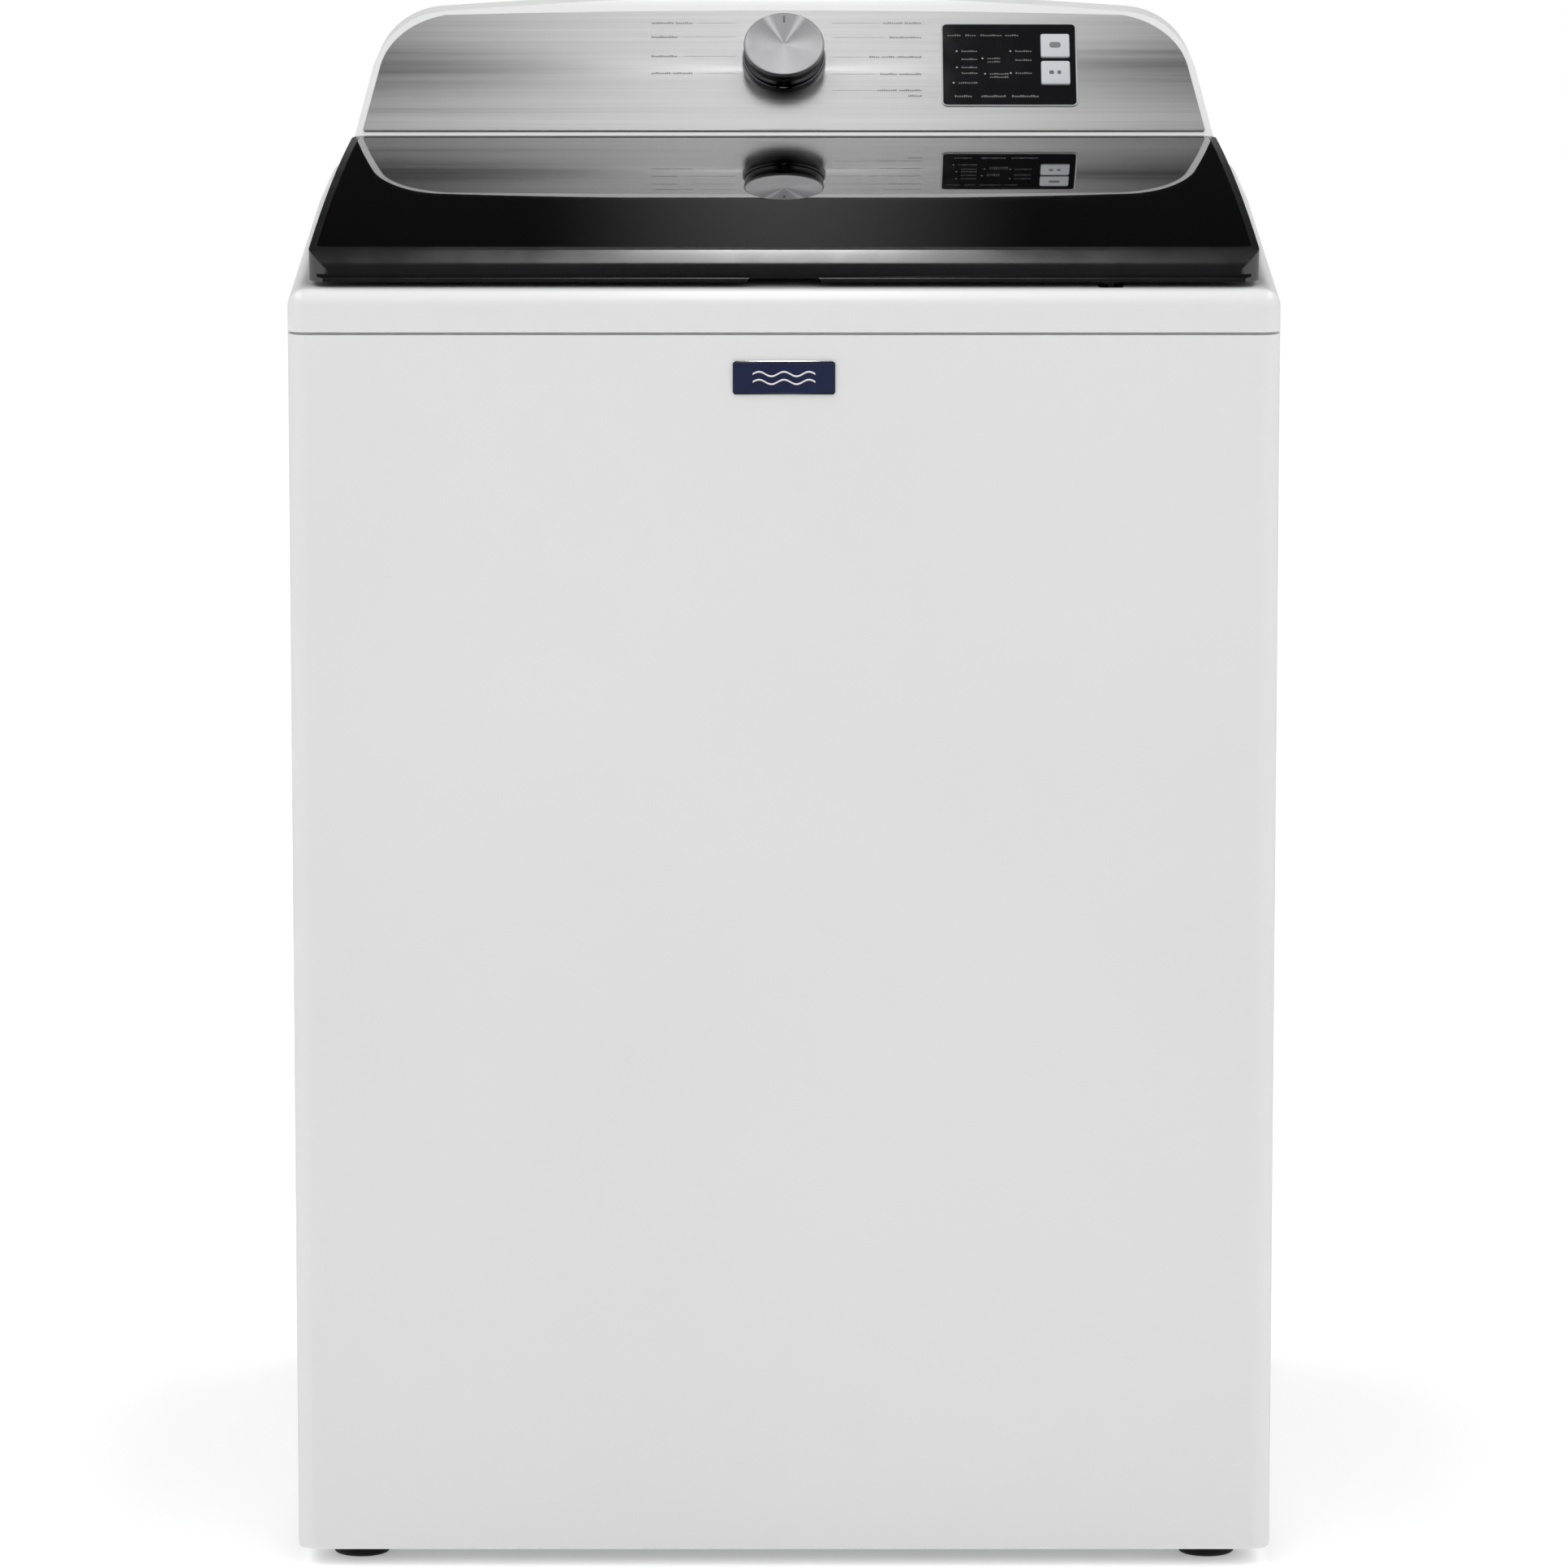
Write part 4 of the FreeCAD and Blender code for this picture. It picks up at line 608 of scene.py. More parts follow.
# each label as (how far up the slope, the widths of its words)
LEFT_LABELS = ((0.1104, (0.017, 0.013)), (0.0966, (0.020,)), (0.0777, (0.020,)),
               (0.0610, (0.015, 0.015)))
RIGHT_LABELS = ((0.1104, (0.0150, 0.0127)), (0.0962, (0.0246,)), (0.0770, (0.0080, 0.0100, 0.0187)),
                (0.0602, (0.0130, 0.0171)), (0.0443, (0.0150, 0.0174)), (0.0388, (0.0106,)))


def cycle_prints():
    """The labels either side of the knob, as plain strokes, and the hairlines that lead to it."""
    left_edge, right_edge, line_half, half_h = -0.1010, 0.1045, 0.00018, 0.0010
    strokes, lines = [], []
    for up, widths in LEFT_LABELS:
        strokes += words(left_edge, up, widths, half_h)
        start = left_edge + sum(widths) + WORD_GAP * len(widths) + 0.003
        end = -(KNOB_RADIUS + 0.006)
        lines.append(((start + end) / 2, up, (end - start) / 2, line_half))
    for up, widths in RIGHT_LABELS:
        whole = sum(widths) + WORD_GAP * (len(widths) - 1)
        strokes += words(right_edge - whole, up, widths, half_h)
        start = KNOB_RADIUS + 0.006
        end = right_edge - whole - 0.003
        if up > 0.040:
            lines.append(((start + end) / 2, up, (end - start) / 2, line_half))
    print_rows("cycle_labels", strokes, "grey_ink", FACE_SKIN)
    print_rows("cycle_lines", lines, "pale_ink", FACE_SKIN)


# ------------------------ display window and keys
WINDOW_X, WINDOW_UP, WINDOW_HALF_W, WINDOW_HALF_H = 0.171, 0.069, 0.0508, 0.0398
KEY_X, KEY_UPS, KEY_HALF_W, KEY_HALF_H = 0.206, (0.0605, 0.087), 0.011, 0.0115
WINDOW_TOP = 0.0010


def window_frame():
    """Light hairline rim round the window."""
    proud, corner, matrix = 0.0008, 0.0045, face_matrix(WINDOW_X, WINDOW_UP, 0)
    section = ((0.0, 0.0004), (0.0, 0.0010), (0.0003, 0.00125), (0.0010, 0.00125), (0.0013, 0.0009))
    verts = []
    for inset, z in section:
        outline = rounded_outline(WINDOW_HALF_W + proud - inset, WINDOW_HALF_H + proud - inset,
                                  corner - inset)
        verts += [matrix @ Vector((x, y, z)) for x, y in outline]
    faces = ring_faces(len(section), len(outline), closed=True)
    rim = piece("window_rim", verts, faces, "grey", "cabinet", turned_out=True)


TOP_LEGENDS = ((0.1242, 0.1346), (0.1376, 0.1462), (0.1492, 0.1657), (0.1681, 0.1784))
FOOT_LEGENDS = ((0.1291, 0.1425), (0.1492, 0.1681), (0.1724, 0.1931))
COLUMN_LEGENDS = (
    (0.1346, 0.1468, (0.0821, 0.0742, 0.0662, 0.0606)),
    (0.1320, 0.1468, (0.0511,)),
    (0.1541, 0.1644, (0.0750, 0.0718)),
    (0.1559, 0.1705, (0.0599, 0.0567)),
    (0.1754, 0.1882, (0.0821, 0.0734, 0.0606)),
)


def window_prints():
    """Dim rows of small plain strokes where the window's legends and lamps are."""
    small, tall = 0.00085, 0.0011
    strokes = []
    for left, right in TOP_LEGENDS:
        strokes += letters(left, right, 0.0977, small)
    for left, right in FOOT_LEGENDS:
        strokes += letters(left, right, 0.0380, tall)
    lamps = []
    for left, right, ups in COLUMN_LEGENDS:
        for up in ups:
            strokes += letters(left, right, up, small)
        lamps += [(left - 0.0034, up, 0.0007, 0.0007) for up in ups[::2]]
    print_rows("window_legends", strokes, "dim_ink", WINDOW_TOP)
    print_rows("window_lamps", lamps, "pale_ink", WINDOW_TOP)


def key_cap(name, node, body, up, icon, ink):
    """Crowned push key with a rolled edge and a plain icon of bars and dots."""
    verts, faces = bevelled_plate(KEY_HALF_W, KEY_HALF_H, 0.0018, -0.0070, 0.0022, 0.0009,
                                  face_matrix(KEY_X, up, 0), 8)
    key = piece(name, verts, faces, "key", body, 50)
    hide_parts(node)
    print_rows(name + "_icon", [(KEY_X + x, up + y, w, h) for x, y, w, h in icon], ink,
               0.0022, body)


# ------------------------ badge
def badge():
    """Dark plate in a bright rim, with a plain pair of ripples."""
    centre = (BADGE_LOW + BADGE_HIGH) / 2
    half_w, half_h = (BADGE_HIGH.x - BADGE_LOW.x) / 2, (BADGE_HIGH.z - BADGE_LOW.z) / 2
    depth = BADGE_HIGH.y - BADGE_LOW.y
    stand = Matrix.Translation((centre.x, BADGE_HIGH.y, centre.z)) @ Matrix.Rotation(math.pi / 2, 4, "X")
    verts, faces = bevelled_plate(half_w, half_h, 0.0025, 0.0, depth - 0.0004, 0.0006, stand)
    rim = piece("badge_rim", verts, faces, "chrome", "cabinet")
    border = 0.0012
    verts, faces = bevelled_plate(half_w - border, half_h - border, 0.0016, depth - 0.0006,
                                  depth - 0.0001, 0.0003, stand)
    plate = piece("badge_plate", verts, faces, "badge", "cabinet")
    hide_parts("front_badge")
    verts, faces = [], []
    steps, thick = 48, 0.0006
    for up, reach in ((0.0028, 0.022), (-0.0028, 0.022)):
        base = len(verts)
        for k in range(steps + 1):
            x = reach * (2 * k / steps - 1)
            z = up + 0.0016 * math.sin(2 * math.pi * 2.5 * (k / steps))
            for dz in (-thick, thick):
                verts.append(stand @ Vector((x, z + dz, depth - 0.00002)))
        for k in range(steps):
            a = base + 2 * k
            faces.append((a, a + 2, a + 3, a + 1))
    ripples = piece("badge_ripples", verts, faces, "white_ink", "cabinet", turned_out=False)


knob_skirt()
knob_cap()
knob_mark()
cycle_prints()
window_frame()
window_prints()
dress("display_window", "gloss_black")
POWER_ICON = [(0, 0.0004, 0.0042, 0.0028)]
START_ICON = [(-0.0030, 0.0, 0.0018, 0.0018), (0.0028, 0.0, 0.0014, 0.0018)]
key_cap("power_key_cap", "power_button", "power_key", KEY_UPS[1], POWER_ICON, "grey_ink")
key_cap("start_key_cap", "start_button", "start_key", KEY_UPS[0], START_ICON, "dark_ink")
badge()


# ------------------------ parts that repeat
class Layout:
    """A geometry tree with named inputs for its sizes, which ends in real faces with one finish."""

    def __init__(self, name, inputs):
        self.tree = bpy.data.node_groups.new(name, "GeometryNodeTree")
        self.tree.interface.new_socket("Geometry", in_out="OUTPUT", socket_type="NodeSocketGeometry")
        for label, kind in [("Geometry", "Geometry")] + inputs + [("Finish", "Material")]:
            self.tree.interface.new_socket(label, in_out="INPUT", socket_type="NodeSocket" + kind)
        self.given = self.tree.nodes.new("NodeGroupInput").outputs

    def add(self, kind, feeds=(), **settings):
        node = self.tree.nodes.new(kind)
        for key, value in settings.items():
            setattr(node, key, value)
        for socket, value in feeds:
            self.feed(node.inputs[socket], value)
        return node.outputs

    def feed(self, socket, value):
        if isinstance(value, bpy.types.NodeSocket):
            self.tree.links.new(value, socket)
        else:
            socket.default_value = value

    def sum_of(self, operation, *values):
        return self.add("ShaderNodeMath", list(enumerate(values)), operation=operation)[0]

    def shape(self, label):
        return self.add("GeometryNodeObjectInfo", [("Object", self.given[label])])["Geometry"]

    def close(self, geometry, weld=0.0):
        real = self.add("GeometryNodeRealizeInstances", [("Geometry", geometry)])["Geometry"]
        if weld:
            real = self.add("GeometryNodeMergeByDistance",
                            [("Geometry", real), ("Distance", weld)])["Geometry"]
        ending = self.add("GeometryNodeSetMaterial",
                          [("Geometry", real), ("Material", self.given["Finish"])])
        out = self.tree.nodes.new("NodeGroupOutput")
        self.tree.links.new(ending["Geometry"], out.inputs["Geometry"])


def ring_layout():
    """Copies a shape round an upright axis, row above row, and welds the copies to a whole one."""
    t = Layout("ring_of_copies", [("Shape", "Object"), ("Whole", "Object"), ("Count", "Int"),
                                  ("Rows", "Int"), ("Row Height", "Float"), ("Centre", "Vector"),
                                  ("First Angle", "Float"), ("Stagger", "Float")])
    index = t.add("GeometryNodeInputIndex")["Index"]
    row = t.sum_of("FLOOR", t.sum_of("DIVIDE", index, t.given["Count"]))
    step = t.sum_of("DIVIDE", 2 * math.pi, t.given["Count"])
    angle = t.sum_of("MULTIPLY_ADD", index, step, t.given["First Angle"])
    angle = t.sum_of("MULTIPLY_ADD", t.sum_of("MODULO", row, 2.0), t.given["Stagger"], angle)
    rise = t.sum_of("MULTIPLY", row, t.given["Row Height"])
    lift = t.add("ShaderNodeCombineXYZ", [("Z", rise)])["Vector"]
    place = t.add("ShaderNodeVectorMath", [(0, lift), (1, t.given["Centre"])], operation="ADD")["Vector"]
    count = t.sum_of("MULTIPLY", t.given["Count"], t.given["Rows"])
    points = t.add("GeometryNodePoints", [("Count", count), ("Position", place)])[0]
    turn = t.add("ShaderNodeCombineXYZ", [("Z", angle)])["Vector"]
    turn = t.add("FunctionNodeEulerToRotation", [("Euler", turn)])["Rotation"]
    copies = t.add("GeometryNodeInstanceOnPoints", [("Points", points), ("Instance", t.shape("Shape")),
                                                    ("Rotation", turn)])["Instances"]
    both = t.add("GeometryNodeJoinGeometry")
    joiner = t.tree.nodes[-1]
    for geometry in (copies, t.shape("Whole")):
        t.tree.links.new(geometry, joiner.inputs["Geometry"])
    t.close(both["Geometry"], 1e-5)
    return t.tree


def placed_layout():
    """Puts a copy of a shape on each point of the piece that it is run on."""
    t = Layout("copies_in_places", [("Shape", "Object"), ("Size", "Float")])
    copies = t.add("GeometryNodeInstanceOnPoints", [("Points", t.given["Geometry"]),
                                                    ("Instance", t.shape("Shape")),
                                                    ("Scale", t.given["Size"])])["Instances"]
    t.close(copies)
    return t.tree


def coil_layout():
    """Winds round wire into an upright coil on each point of the piece that it is run on."""
    t = Layout("coils_in_places", [("Turns", "Float"), ("Coil Radius", "Float"),
                                   ("Wire Radius", "Float"), ("Height", "Float")])
    path = t.add("GeometryNodeCurveSpiral", [("Resolution", 28), ("Rotations", t.given["Turns"]),
                                             ("Start Radius", t.given["Coil Radius"]),
                                             ("End Radius", t.given["Coil Radius"]),
                                             ("Height", t.given["Height"])])[0]
    wire = t.add("GeometryNodeCurvePrimitiveCircle",
                 [("Resolution", 10), ("Radius", t.given["Wire Radius"])], mode="RADIUS")[0]
    coil = t.add("GeometryNodeCurveToMesh",
                 [("Curve", path), ("Profile Curve", wire), ("Fill Caps", True)])[0]
    copies = t.add("GeometryNodeInstanceOnPoints",
                   [("Points", t.given["Geometry"]), ("Instance", coil)])["Instances"]
    t.close(copies)
    return t.tree


def laid_out(name, layout, sizes, finish, body, sharp=35.0, places=()):
    """Runs a layout with its sizes and keeps what it makes as a plain mesh, on a body if named.

    The shapes that the layout copies are thrown away afterwards.
    """
    obj = draft(name, places, [])
    modifier = obj.modifiers.new("layout", "NODES")
    modifier.node_group = layout
    keys = {item.name: item.identifier for item in layout.interface.items_tree if item.in_out == "INPUT"}
    for label, value in {**sizes, "Finish": FINISH[finish]}.items():
        modifier[keys[label]] = value
    made = obj.evaluated_get(bpy.context.evaluated_depsgraph_get())
    mesh = bpy.data.meshes.new_from_object(made)
    obj.modifiers.remove(modifier)
    obj.data = mesh
    mesh.name = name
    finish_mesh(mesh, sharp)
    for value in sizes.values():
        if isinstance(value, bpy.types.Object):
            bpy.data.objects.remove(value)
    if body:
        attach(obj, body)
    return obj


RING = ring_layout()
PLACED = placed_layout()
COILS = coil_layout()


# ------------------------ basket
HOLES_ROUND = 96
HOLE_ROWS = 25
ROW_HEIGHT = 0.0185
FIRST_ROW = BASKET_LOW.z + 0.040
HOLE_RADIUS = 0.0026
BASKET_RADIUS = (BASKET_HIGH.x - BASKET_LOW.x) / 2
BASKET_SHEET = 0.0012


def drum_cell():
    """One field of the drum's wall, with its eight-sided hole, bent to the drum on the X axis."""
    half_turn, half_tall = math.pi / HOLES_ROUND, ROW_HEIGHT / 2
    rim = [(1, 0), (1, 1), (0, 1), (-1, 1), (-1, 0), (-1, -1), (0, -1), (1, -1)]
    verts, faces = [], []
    for r in (BASKET_RADIUS, BASKET_RADIUS - BASKET_SHEET):
        flat = [(a * half_turn, z * half_tall) for a, z in rim]
        hole = [(HOLE_RADIUS * math.cos(k * math.pi / 4), HOLE_RADIUS * math.sin(k * math.pi / 4))
                for k in range(8)]
        flat += [(y / BASKET_RADIUS, z) for y, z in hole]
        verts += [(r * math.cos(a), r * math.sin(a), z) for a, z in flat]
    for k in range(8):
        j = (k + 1) % 8
        faces.append((k, j, 8 + j, 8 + k))
        faces.append((16 + k, 24 + k, 24 + j, 16 + j))
        faces.append((8 + k, 8 + j, 24 + j, 24 + k))
    return draft("drum_cell", verts, faces)


def drum_bands():
    """The drum's plain bands above and below its holes, with a rolled bead in each."""
    out, wall = BASKET_RADIUS, BASKET_SHEET
    inn, low, high = out - wall, BASKET_LOW.z, BASKET_HIGH.z
    first, last = FIRST_ROW - ROW_HEIGHT / 2, FIRST_ROW + (HOLE_ROWS - 0.5) * ROW_HEIGHT

    def bead(r, z, way):
        depth, width, steps = 0.0016, 0.010, 6
        return [(r - depth * math.sin(math.pi * k / steps), z + way * width * (k / steps - 0.5))
                for k in range(steps + 1)]

    lower = [(out, first)] + bead(out, low + 0.018, -1) + [(out, low + 0.002), (out - 0.002, low)]
    lip = 0.022
    lower += [(out - lip, low), (out - lip, low + wall), (inn - 0.002, low + wall), (inn, low + 0.003)]
    lower += bead(inn, low + 0.018, 1) + [(inn, first)]
    upper = [(inn, last)] + bead(inn, high - 0.010, 1) + [(inn, high), (out, high)]
    upper += bead(out, high - 0.010, -1) + [(out, last)]
    verts, faces, segments = [], [], 2 * HOLES_ROUND
    for profile in (lower, upper):
        start, n = len(verts), len(profile)
        for k in range(segments):
            a = 2 * math.pi * k / segments
            verts += [(r * math.cos(a), TUB_AXIS.y + r * math.sin(a), z) for r, z in profile]
        for k in range(segments):
            a, b = start + k * n, start + (k + 1) % segments * n
            faces += [(a + i, a + i + 1, b + i + 1, b + i) for i in range(n - 1)]
    return draft("drum_bands", verts, faces)


def basket():
    """The drum's wall, its rows of holes standing half a pitch apart."""
    sizes = {"Shape": drum_cell(), "Whole": drum_bands(), "Count": HOLES_ROUND, "Rows": HOLE_ROWS,
             "Row Height": ROW_HEIGHT, "Centre": (TUB_AXIS.x, TUB_AXIS.y, FIRST_ROW), "First Angle": 0.0,
             "Stagger": math.pi / HOLES_ROUND}
    drum = laid_out("basket_wall", RING, sizes, "drum", "basket", 50)
    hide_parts("wash_basket")


# ------------------------ agitator
FIN_COUNT = 4
VANE_COUNT = 3
# the bell's outside and inside as (radius, height)
BELL_TOP = [(0.212, 0.2722), (0.2125, 0.2745), (0.211, 0.2766), (0.205, 0.2784), (0.185, 0.2818),
            (0.160, 0.2862), (0.135, 0.2922), (0.112, 0.2996), (0.094, 0.3080), (0.079, 0.3186),
            (0.067, 0.3330), (0.058, 0.3530), (0.0515, 0.3820), (0.0470, 0.4200), (0.0442, 0.4700),
            (0.0428, 0.5400), (0.0420, 0.6390), (0.0412, 0.6400)]
BELL_INSIDE = [(0.038, 0.6400), (0.038, 0.4700), (0.043, 0.4000), (0.052, 0.3540), (0.068, 0.3250),
               (0.100, 0.3000), (0.150, 0.2830), (0.200, 0.2740), (0.205, 0.2720)]


def height_on_bell(r):
    """The height of the bell's upper side at a radius."""
    for (wide, low), (narrow, high) in zip(BELL_TOP, BELL_TOP[1:]):
        if narrow <= r <= wide:
            return low + (high - low) * (wide - r) / max(wide - narrow, 1e-9)
    return BELL_TOP[-1][1]


def agitator_fin():
    """A swept fin with a full round edge, standing on the bell, drawn along the X axis."""
    crest = [(0.0425, 0.437), (0.052, 0.428), (0.064, 0.410), (0.078, 0.386), (0.094, 0.360),
             (0.112, 0.337), (0.130, 0.320), (0.150, 0.306), (0.170, 0.295), (0.186, 0.287),
             (0.198, 0.2815)]
    inner, outer = crest[0][0], crest[-1][0]
    verts = []
    for r, top in crest:
        low = height_on_bell(r) - 0.0025 if r > 0.046 else 0.395
        sweep = 0.10 * ((r - inner) / (outer - inner)) ** 2
        half_foot, half_edge, shoulder = 0.0062, 0.0030, low + (top - low) * 0.4
        section = [(-half_foot, low), (-half_foot * 0.8, shoulder)]
        section += arc(0, top - half_edge, half_edge, 180, 0, 7)
        section += [(half_foot * 0.8, shoulder), (half_foot, low)]
        for side, z in section:
            a = sweep + side / r
            verts.append((r * math.cos(a), r * math.sin(a), z))
    rows, around = len(crest), len(section)
    return draft("agitator_fin", verts, ring_faces(rows, around) + end_caps(rows, around, False))


def auger_vane():
    """One helical vane that winds up the column, its tip rolled and its ends tapered."""
    steps, start, rise, turn = 40, 0.412, 0.170, math.radians(230)
    root, width, taper, blunt = 0.0400, 0.0395, 5, 0.12
    verts = []
    for k in range(steps + 1):
        t = k / steps
        a, z = t * turn, start + rise * t
        reach = 0.0405 + width * min(1.0, taper * t + blunt, taper * (1 - t) + blunt) ** 0.6
        section = [(root, -0.0028), (reach - 0.003, -0.0016), (reach - 0.0008, -0.0016), (reach, 0.0),
                   (reach - 0.0008, 0.0016), (reach - 0.003, 0.0016), (root, 0.0028)]
        verts += [(r * math.cos(a), r * math.sin(a), z + dz) for r, dz in section]
    rows, around = steps + 1, len(section)
    return draft("auger_vane", verts, ring_faces(rows, around) + end_caps(rows, around, False))


def agitator():
    """The bell with its fins, and the column's vanes."""
    axis = (TUB_AXIS.x, TUB_AXIS.y, 0.0)
    bell = draft("bell", *turned(BELL_TOP + BELL_INSIDE, Matrix.Translation(axis), 128))
    sizes = {"Shape": agitator_fin(), "Whole": bell, "Count": FIN_COUNT, "Rows": 1, "Row Height": 0.0,
             "Centre": axis, "First Angle": math.radians(20), "Stagger": 0.0}
    body = laid_out("agitator_bell", RING, sizes, "agitator", "agitator_set", 40)
    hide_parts("agitator")
    sizes = {"Shape": auger_vane(), "Count": VANE_COUNT, "Rows": 1, "Row Height": 0.0,
             "Centre": axis, "First Angle": 0.0, "Stagger": 0.0}
    vanes = laid_out("agitator_vanes", RING, sizes, "agitator", "agitator_set", 40)


# ------------------------ screws and feet
SIDES = 24  # points round a screw's head and a foot's collar


def hex_prism(across_flats, low, high, chamfer):
    """Rings of a hexagon bar's outline with its upper corners turned off, as (radius, angle, height)."""
    flat, corner = across_flats / 2, across_flats / math.sqrt(3)
    points = []
    for k in range(SIDES):
        a = math.radians(360 * k / SIDES)
        near = (a + math.pi / 6) % (math.pi / 3) - math.pi / 6
        points.append((flat / math.cos(near), a))
    rows = [[(r, a, low) for r, a in points]]
    rows.append([(r, a, high - chamfer * (r - flat) / (corner - flat)) for r, a in points])
    rows.append([(flat - chamfer * 0.3, a, high) for r, a in points])
    return rows


def round_rows(profile):
    """Rings of (radius, angle, height) for a turned profile."""
    return [[(r, math.radians(360 * k / SIDES), z) for k in range(SIDES)] for r, z in profile]


def screw_head():
    """A hexagon head with its washer and a dimple in its top, standing along +Y."""
    rows = round_rows(((0.0060, -0.0002), (0.0064, 0.0002), (0.0064, 0.0009), (0.0061, 0.0012)))
    rows += hex_prism(0.0080, 0.0012, 0.0052, 0.0008)
    rows += round_rows(((0.0026, 0.0052), (0.0022, 0.0044)))
    verts = [(r * math.cos(a), z, r * math.sin(a)) for row in rows for r, a, z in row]
    return draft("screw_head", verts, ring_faces(len(rows), SIDES) + end_caps(len(rows), SIDES))


PANEL_SCREWS = [(side * 0.339, z) for side in (-1, 1) for z in (0.060, 0.260, 0.460, 0.660, 0.850)]
COVER_SCREWS = [(side * x, z) for side in (-1, 1)
                for x, z in ((0.285, 0.955), (0.285, 1.030), (0.095, 0.955))]


def rear_screws():
    """Ten screws in the back sheet and six in the console's cover."""
    back, sheet = CABINET_HIGH.y, 0.0008
    places = [(x, back + sheet, z) for x, z in PANEL_SCREWS] + [(x, back, z) for x, z in COVER_SCREWS]
    sizes = {"Shape": screw_head(), "Size": 1.0}
    screws = laid_out("rear_screw_heads", PLACED, sizes, "steel", "cabinet", 30, places)
    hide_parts("rear_screws")


def springs():
    """Four suspension springs, held to the cabinet's rods below and to the tub above."""
    low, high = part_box("suspension_springs")
    coil, wire, turns = 0.014, 0.002, 7.0
    start, height = low.z + wire, high.z - low.z - 2 * wire
    outside = coil + wire
    places = [(x, y, start) for x in (low.x + outside, high.x - outside)
              for y in (low.y + outside, high.y - outside)]
    sizes = {"Turns": turns, "Coil Radius": coil, "Wire Radius": wire, "Height": height}
    made = laid_out("rod_springs", COILS, sizes, "steel", None, 50, places)
    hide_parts("suspension_springs")
    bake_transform(made)


HOSE_ROUTE = [(-0.150, 0.199, 0.166), (-0.150, 0.232, 0.166), (-0.184, 0.262, 0.184),
              (-0.220, 0.264, 0.246), (-0.232, 0.260, 0.330), (-0.235, 0.258, 0.480),
              (-0.234, 0.260, 0.630), (-0.232, 0.258, 0.778), (-0.232, 0.317, 0.778)]


def route_points(route):
    """Points about 1 mm apart on the smooth spline that has the route's points as its controls."""
    curve = bpy.data.curves.new("hose_route", "CURVE")
    curve.dimensions = "3D"
    curve.resolution_u = 60
    spline = curve.splines.new("NURBS")
    spline.points.add(len(route) - 1)
    for point, place in zip(spline.points, route):
        point.co = (*place, 1)
    spline.order_u = 3
    spline.use_endpoint_u = True
    obj = put("hose_route", curve)
    line = bpy.data.meshes.new_from_object(obj.evaluated_get(bpy.context.evaluated_depsgraph_get()))
    raw = [v.co.copy() for v in line.vertices]
    bpy.data.objects.remove(obj)
    points, spare, step = [raw[0]], 0.0, 0.0012
    for a, b in zip(raw, raw[1:]):
        length = (b - a).length
        at = step - spare
        while at <= length:
            points.append(a.lerp(b, at / length))
            at += step
        spare = length - (at - step)
    return points


def drain_hose():
    """Ribbed hose with plain cuffs, held to the tub's pump below and to the cabinet's outlet above."""
    points, wall, around = route_points(HOSE_ROUTE), 0.0015, 20
    middle, ripple, cuff_radius, pitch, cuff = 0.0143, 0.0007, 0.0146, 5, 22
    side = Vector((1, 0, 0))
    outer, inner = [], []
    for k, place in enumerate(points):
        along = (points[min(k + 1, len(points) - 1)] - points[max(k - 1, 0)]).normalized()
        side = (side - along * side.dot(along)).normalized()
        other = along.cross(side)
        plain = k < cuff or k > len(points) - cuff
        r = cuff_radius if plain else middle + ripple * math.sin(2 * math.pi * k / pitch)
        for row, radius in ((outer, r), (inner, r - wall)):
            row.append([place + radius * (math.cos(a) * side + math.sin(a) * other)
                        for a in (2 * math.pi * i / around for i in range(around))])
    rings = outer + inner[::-1]
    verts = [point for ring in rings for point in ring]
    faces = ring_faces(len(rings), around, closed=True)
    hose = piece("drain_hose_ribbed", verts, faces, "rubber", None, 50)
    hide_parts("drain_hose")
    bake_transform(hose)


def levelling_foot(node):
    """A rubber-soled pad under a hexagon collar and a threaded stud."""
    low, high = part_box(node)
    body = node.replace("leveling_foot", "foot")
    stand = Matrix.Translation(((low.x + high.x) / 2, (low.y + high.y) / 2, 0))
    pad_top, collar_top, core = 0.0050, 0.0090, 0.0002
    pad = [(core, 0.0), (0.0192, 0.0), (0.0200, 0.0008), (0.0198, 0.0016), (0.0164, 0.0044),
           (0.0156, pad_top), (core, pad_top)]
    sole = piece(node + "_pad", *turned(pad, stand, 64), "rubber", body)
    pitch, major, minor = 0.00175, 0.0050, 0.0042
    stud = [(core, 0.0048), (0.0046, 0.0048), (0.0046, 0.0092)]
    z = 0.0095
    while z < high.z - 2 * pitch:
        stud += [(minor, z), (major, z + pitch * 0.42), (major, z + pitch * 0.58)]
        z += pitch
    stud += [(minor, z), (minor - 0.0006, high.z), (core, high.z)]
    verts, faces = turned(stud, stand, 40)
    rows, start = hex_prism(0.017, pad_top, collar_top, 0.0010), len(verts)
    verts += [stand @ Vector((r * math.cos(a), r * math.sin(a), z)) for row in rows for r, a, z in row]
    faces += ring_faces(len(rows), SIDES, start) + end_caps(len(rows), SIDES, True, start)
    thread = piece(node + "_stud", verts, faces, "steel", body)
    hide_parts(node)


def fascia_hem():
    """Rolled edge along the foot of the sloping face."""
    half, radius, up = 0.317, 0.0013, 0.0051
    section = arc(0, 0, radius, -10, 190, 10)
    verts, faces, n = [], [], len(section)
    for x in (-half, half):
        verts += [on_face(x, up + a, b) for a, b in section]
    faces += [(i, i + 1, n + i + 1, n + i) for i in range(n - 1)]
    faces += [(n - 1, 0, n, 2 * n - 1), tuple(range(n))[::-1], tuple(range(n, 2 * n))]
    hem = piece("fascia_hem", verts, faces, "fascia", "cabinet", 60)


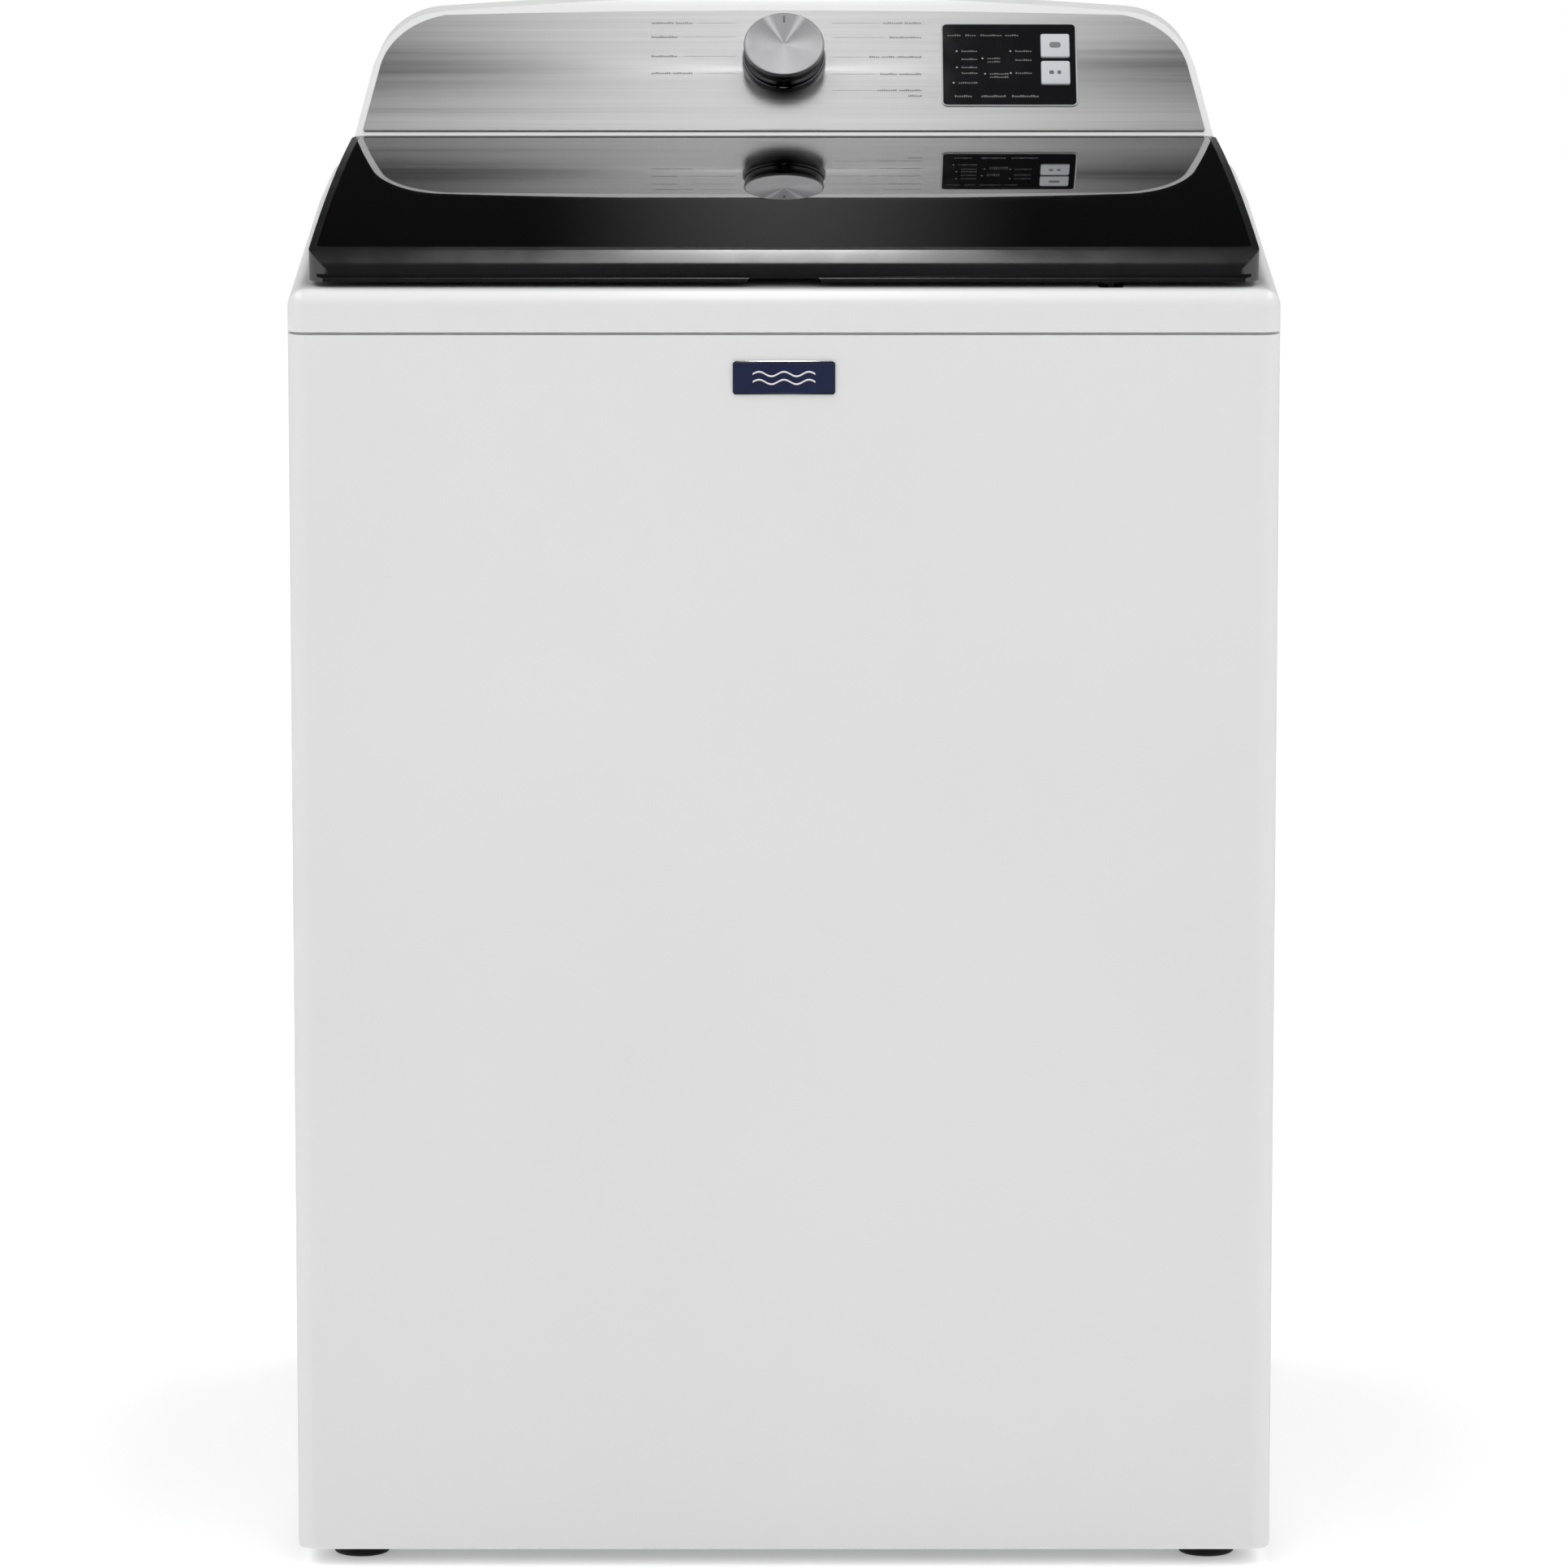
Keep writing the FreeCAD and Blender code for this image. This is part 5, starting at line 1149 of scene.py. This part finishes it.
basket()
agitator()
rear_screws()
springs()
drain_hose()
for node in [n for n in frame["nodes"] if n.startswith("leveling_foot")]:
    levelling_foot(node)
fascia_hem()


# ------------------------ floor, light and camera
def soft_box(name, radiance, size, place, aim):
    """A rectangular light of (width, height) and even radiance, turned to face aim, unseen itself."""
    lamp = bpy.data.lights.new(name, "AREA")
    lamp.shape = "RECTANGLE"
    lamp.size, lamp.size_y = size
    lamp.energy = radiance * math.pi * size[0] * size[1]
    obj = put(name, lamp)
    obj.location = place
    obj.rotation_euler = (Vector(aim) - Vector(place)).to_track_quat("-Z", "Y").to_euler()
    obj.visible_camera = False
    return obj


def pale_floor():
    half = 45.0
    corners = [(-half, -half, 0), (half, -half, 0), (half, half, 0), (-half, half, 0)]
    obj = draft("floor", corners, [(0, 1, 2, 3)])
    s = Shader("pale_floor", FLOOR_SHADE, 0.6)
    s.set("Emission Color", (1, 1, 1, 1))
    s.set("Emission Strength", FLOOR_GLOW)
    s.vary(s.noise(0.5), FLOOR_SHADE, 0.004)
    obj.data.materials.append(s.mat)
    obj.visible_glossy = False


FLOOR_SHADE = (0.95, 0.95, 0.95)
FLOOR_GLOW = 0.26
LOW_SKY = 0.58
HIGH_SKY = 2.6
DARK_CARD = 0.012
CARD_GLOW = 0.13


def studio_world():
    """Pale all round and brighter high up, with a dark band in front of, over and behind the machine.

    The band is what the lid's glass and round nose pick up. A faint glow runs down its middle.
    """
    world = bpy.data.worlds.new("studio")
    bpy.context.scene.world = world
    world.use_nodes = True
    tree = world.node_tree
    sky = tree.nodes["Background"]

    def node(kind, **settings):
        made = tree.nodes.new(kind)
        for key, value in settings.items():
            setattr(made, key, value)
        return made

    def sum_of(operation, a, b):
        made = node("ShaderNodeMath", operation=operation)
        for socket, value in zip(made.inputs, (a, b)):
            if isinstance(value, (int, float)):
                socket.default_value = value
            else:
                tree.links.new(value, socket)
        return made.outputs["Value"]

    def fade(value, low, high, first, last):
        """Runs smoothly from first, at low, to last, at high."""
        made = node("ShaderNodeMapRange", interpolation_type="SMOOTHSTEP")
        tree.links.new(value, made.inputs["Value"])
        limits = {"From Min": low, "From Max": high, "To Min": first, "To Max": last}
        for socket, number in limits.items():
            made.inputs[socket].default_value = number
        return made.outputs["Result"]

    where = node("ShaderNodeTexCoord")
    split = node("ShaderNodeSeparateXYZ")
    tree.links.new(where.outputs["Generated"], split.inputs["Vector"])
    across, back, up = (split.outputs[axis] for axis in "XYZ")
    aside = sum_of("ABSOLUTE", across, 0)
    rise = fade(up, 0.58, 0.72, LOW_SKY, HIGH_SKY)
    low_behind = sum_of("MULTIPLY", fade(back, 0.0, 0.1, 0, 1), fade(up, 0.10, 0.16, 1, 0))
    dark = sum_of("MULTIPLY", sum_of("SUBTRACT", 1, low_behind), fade(aside, 0.20, 0.48, 1, 0))
    glow = fade(aside, 0.0, 0.028, CARD_GLOW, DARK_CARD)
    shade = sum_of("ADD", sum_of("MULTIPLY", rise, sum_of("SUBTRACT", 1, dark)),
                   sum_of("MULTIPLY", glow, dark))
    tree.links.new(shade, sky.inputs["Strength"])
    sky.inputs["Color"].default_value = (1, 1, 1, 1)


def studio_light():
    """A long narrow strip overhead, from front to back, and a soft fill in front."""
    soft_box("strip", 5.0, (0.24, 4.0), (0, -0.05, 2.60), (0, -0.05, 0))
    fill = soft_box("front_fill", 1.35, (3.0, 1.2), (0, -3.2, 2.9), (0, -0.3, 0.7))
    fill.visible_glossy = False


def studio_camera():
    lens = bpy.data.cameras.new("camera")
    lens.sensor_width = 36.0
    lens.lens = 214.0
    lens.clip_end = 200.0
    obj = put("camera", lens)
    stand_off, height, tilt = 6.5, 1.70, 9.86
    obj.location = (0, CABINET_LOW.y - stand_off, height)
    obj.rotation_euler = (math.radians(90 - tilt), 0, 0)
    bpy.context.scene.camera = obj


pale_floor()
studio_world()
studio_light()
studio_camera()
bpy.context.scene.view_settings.view_transform = "Standard"
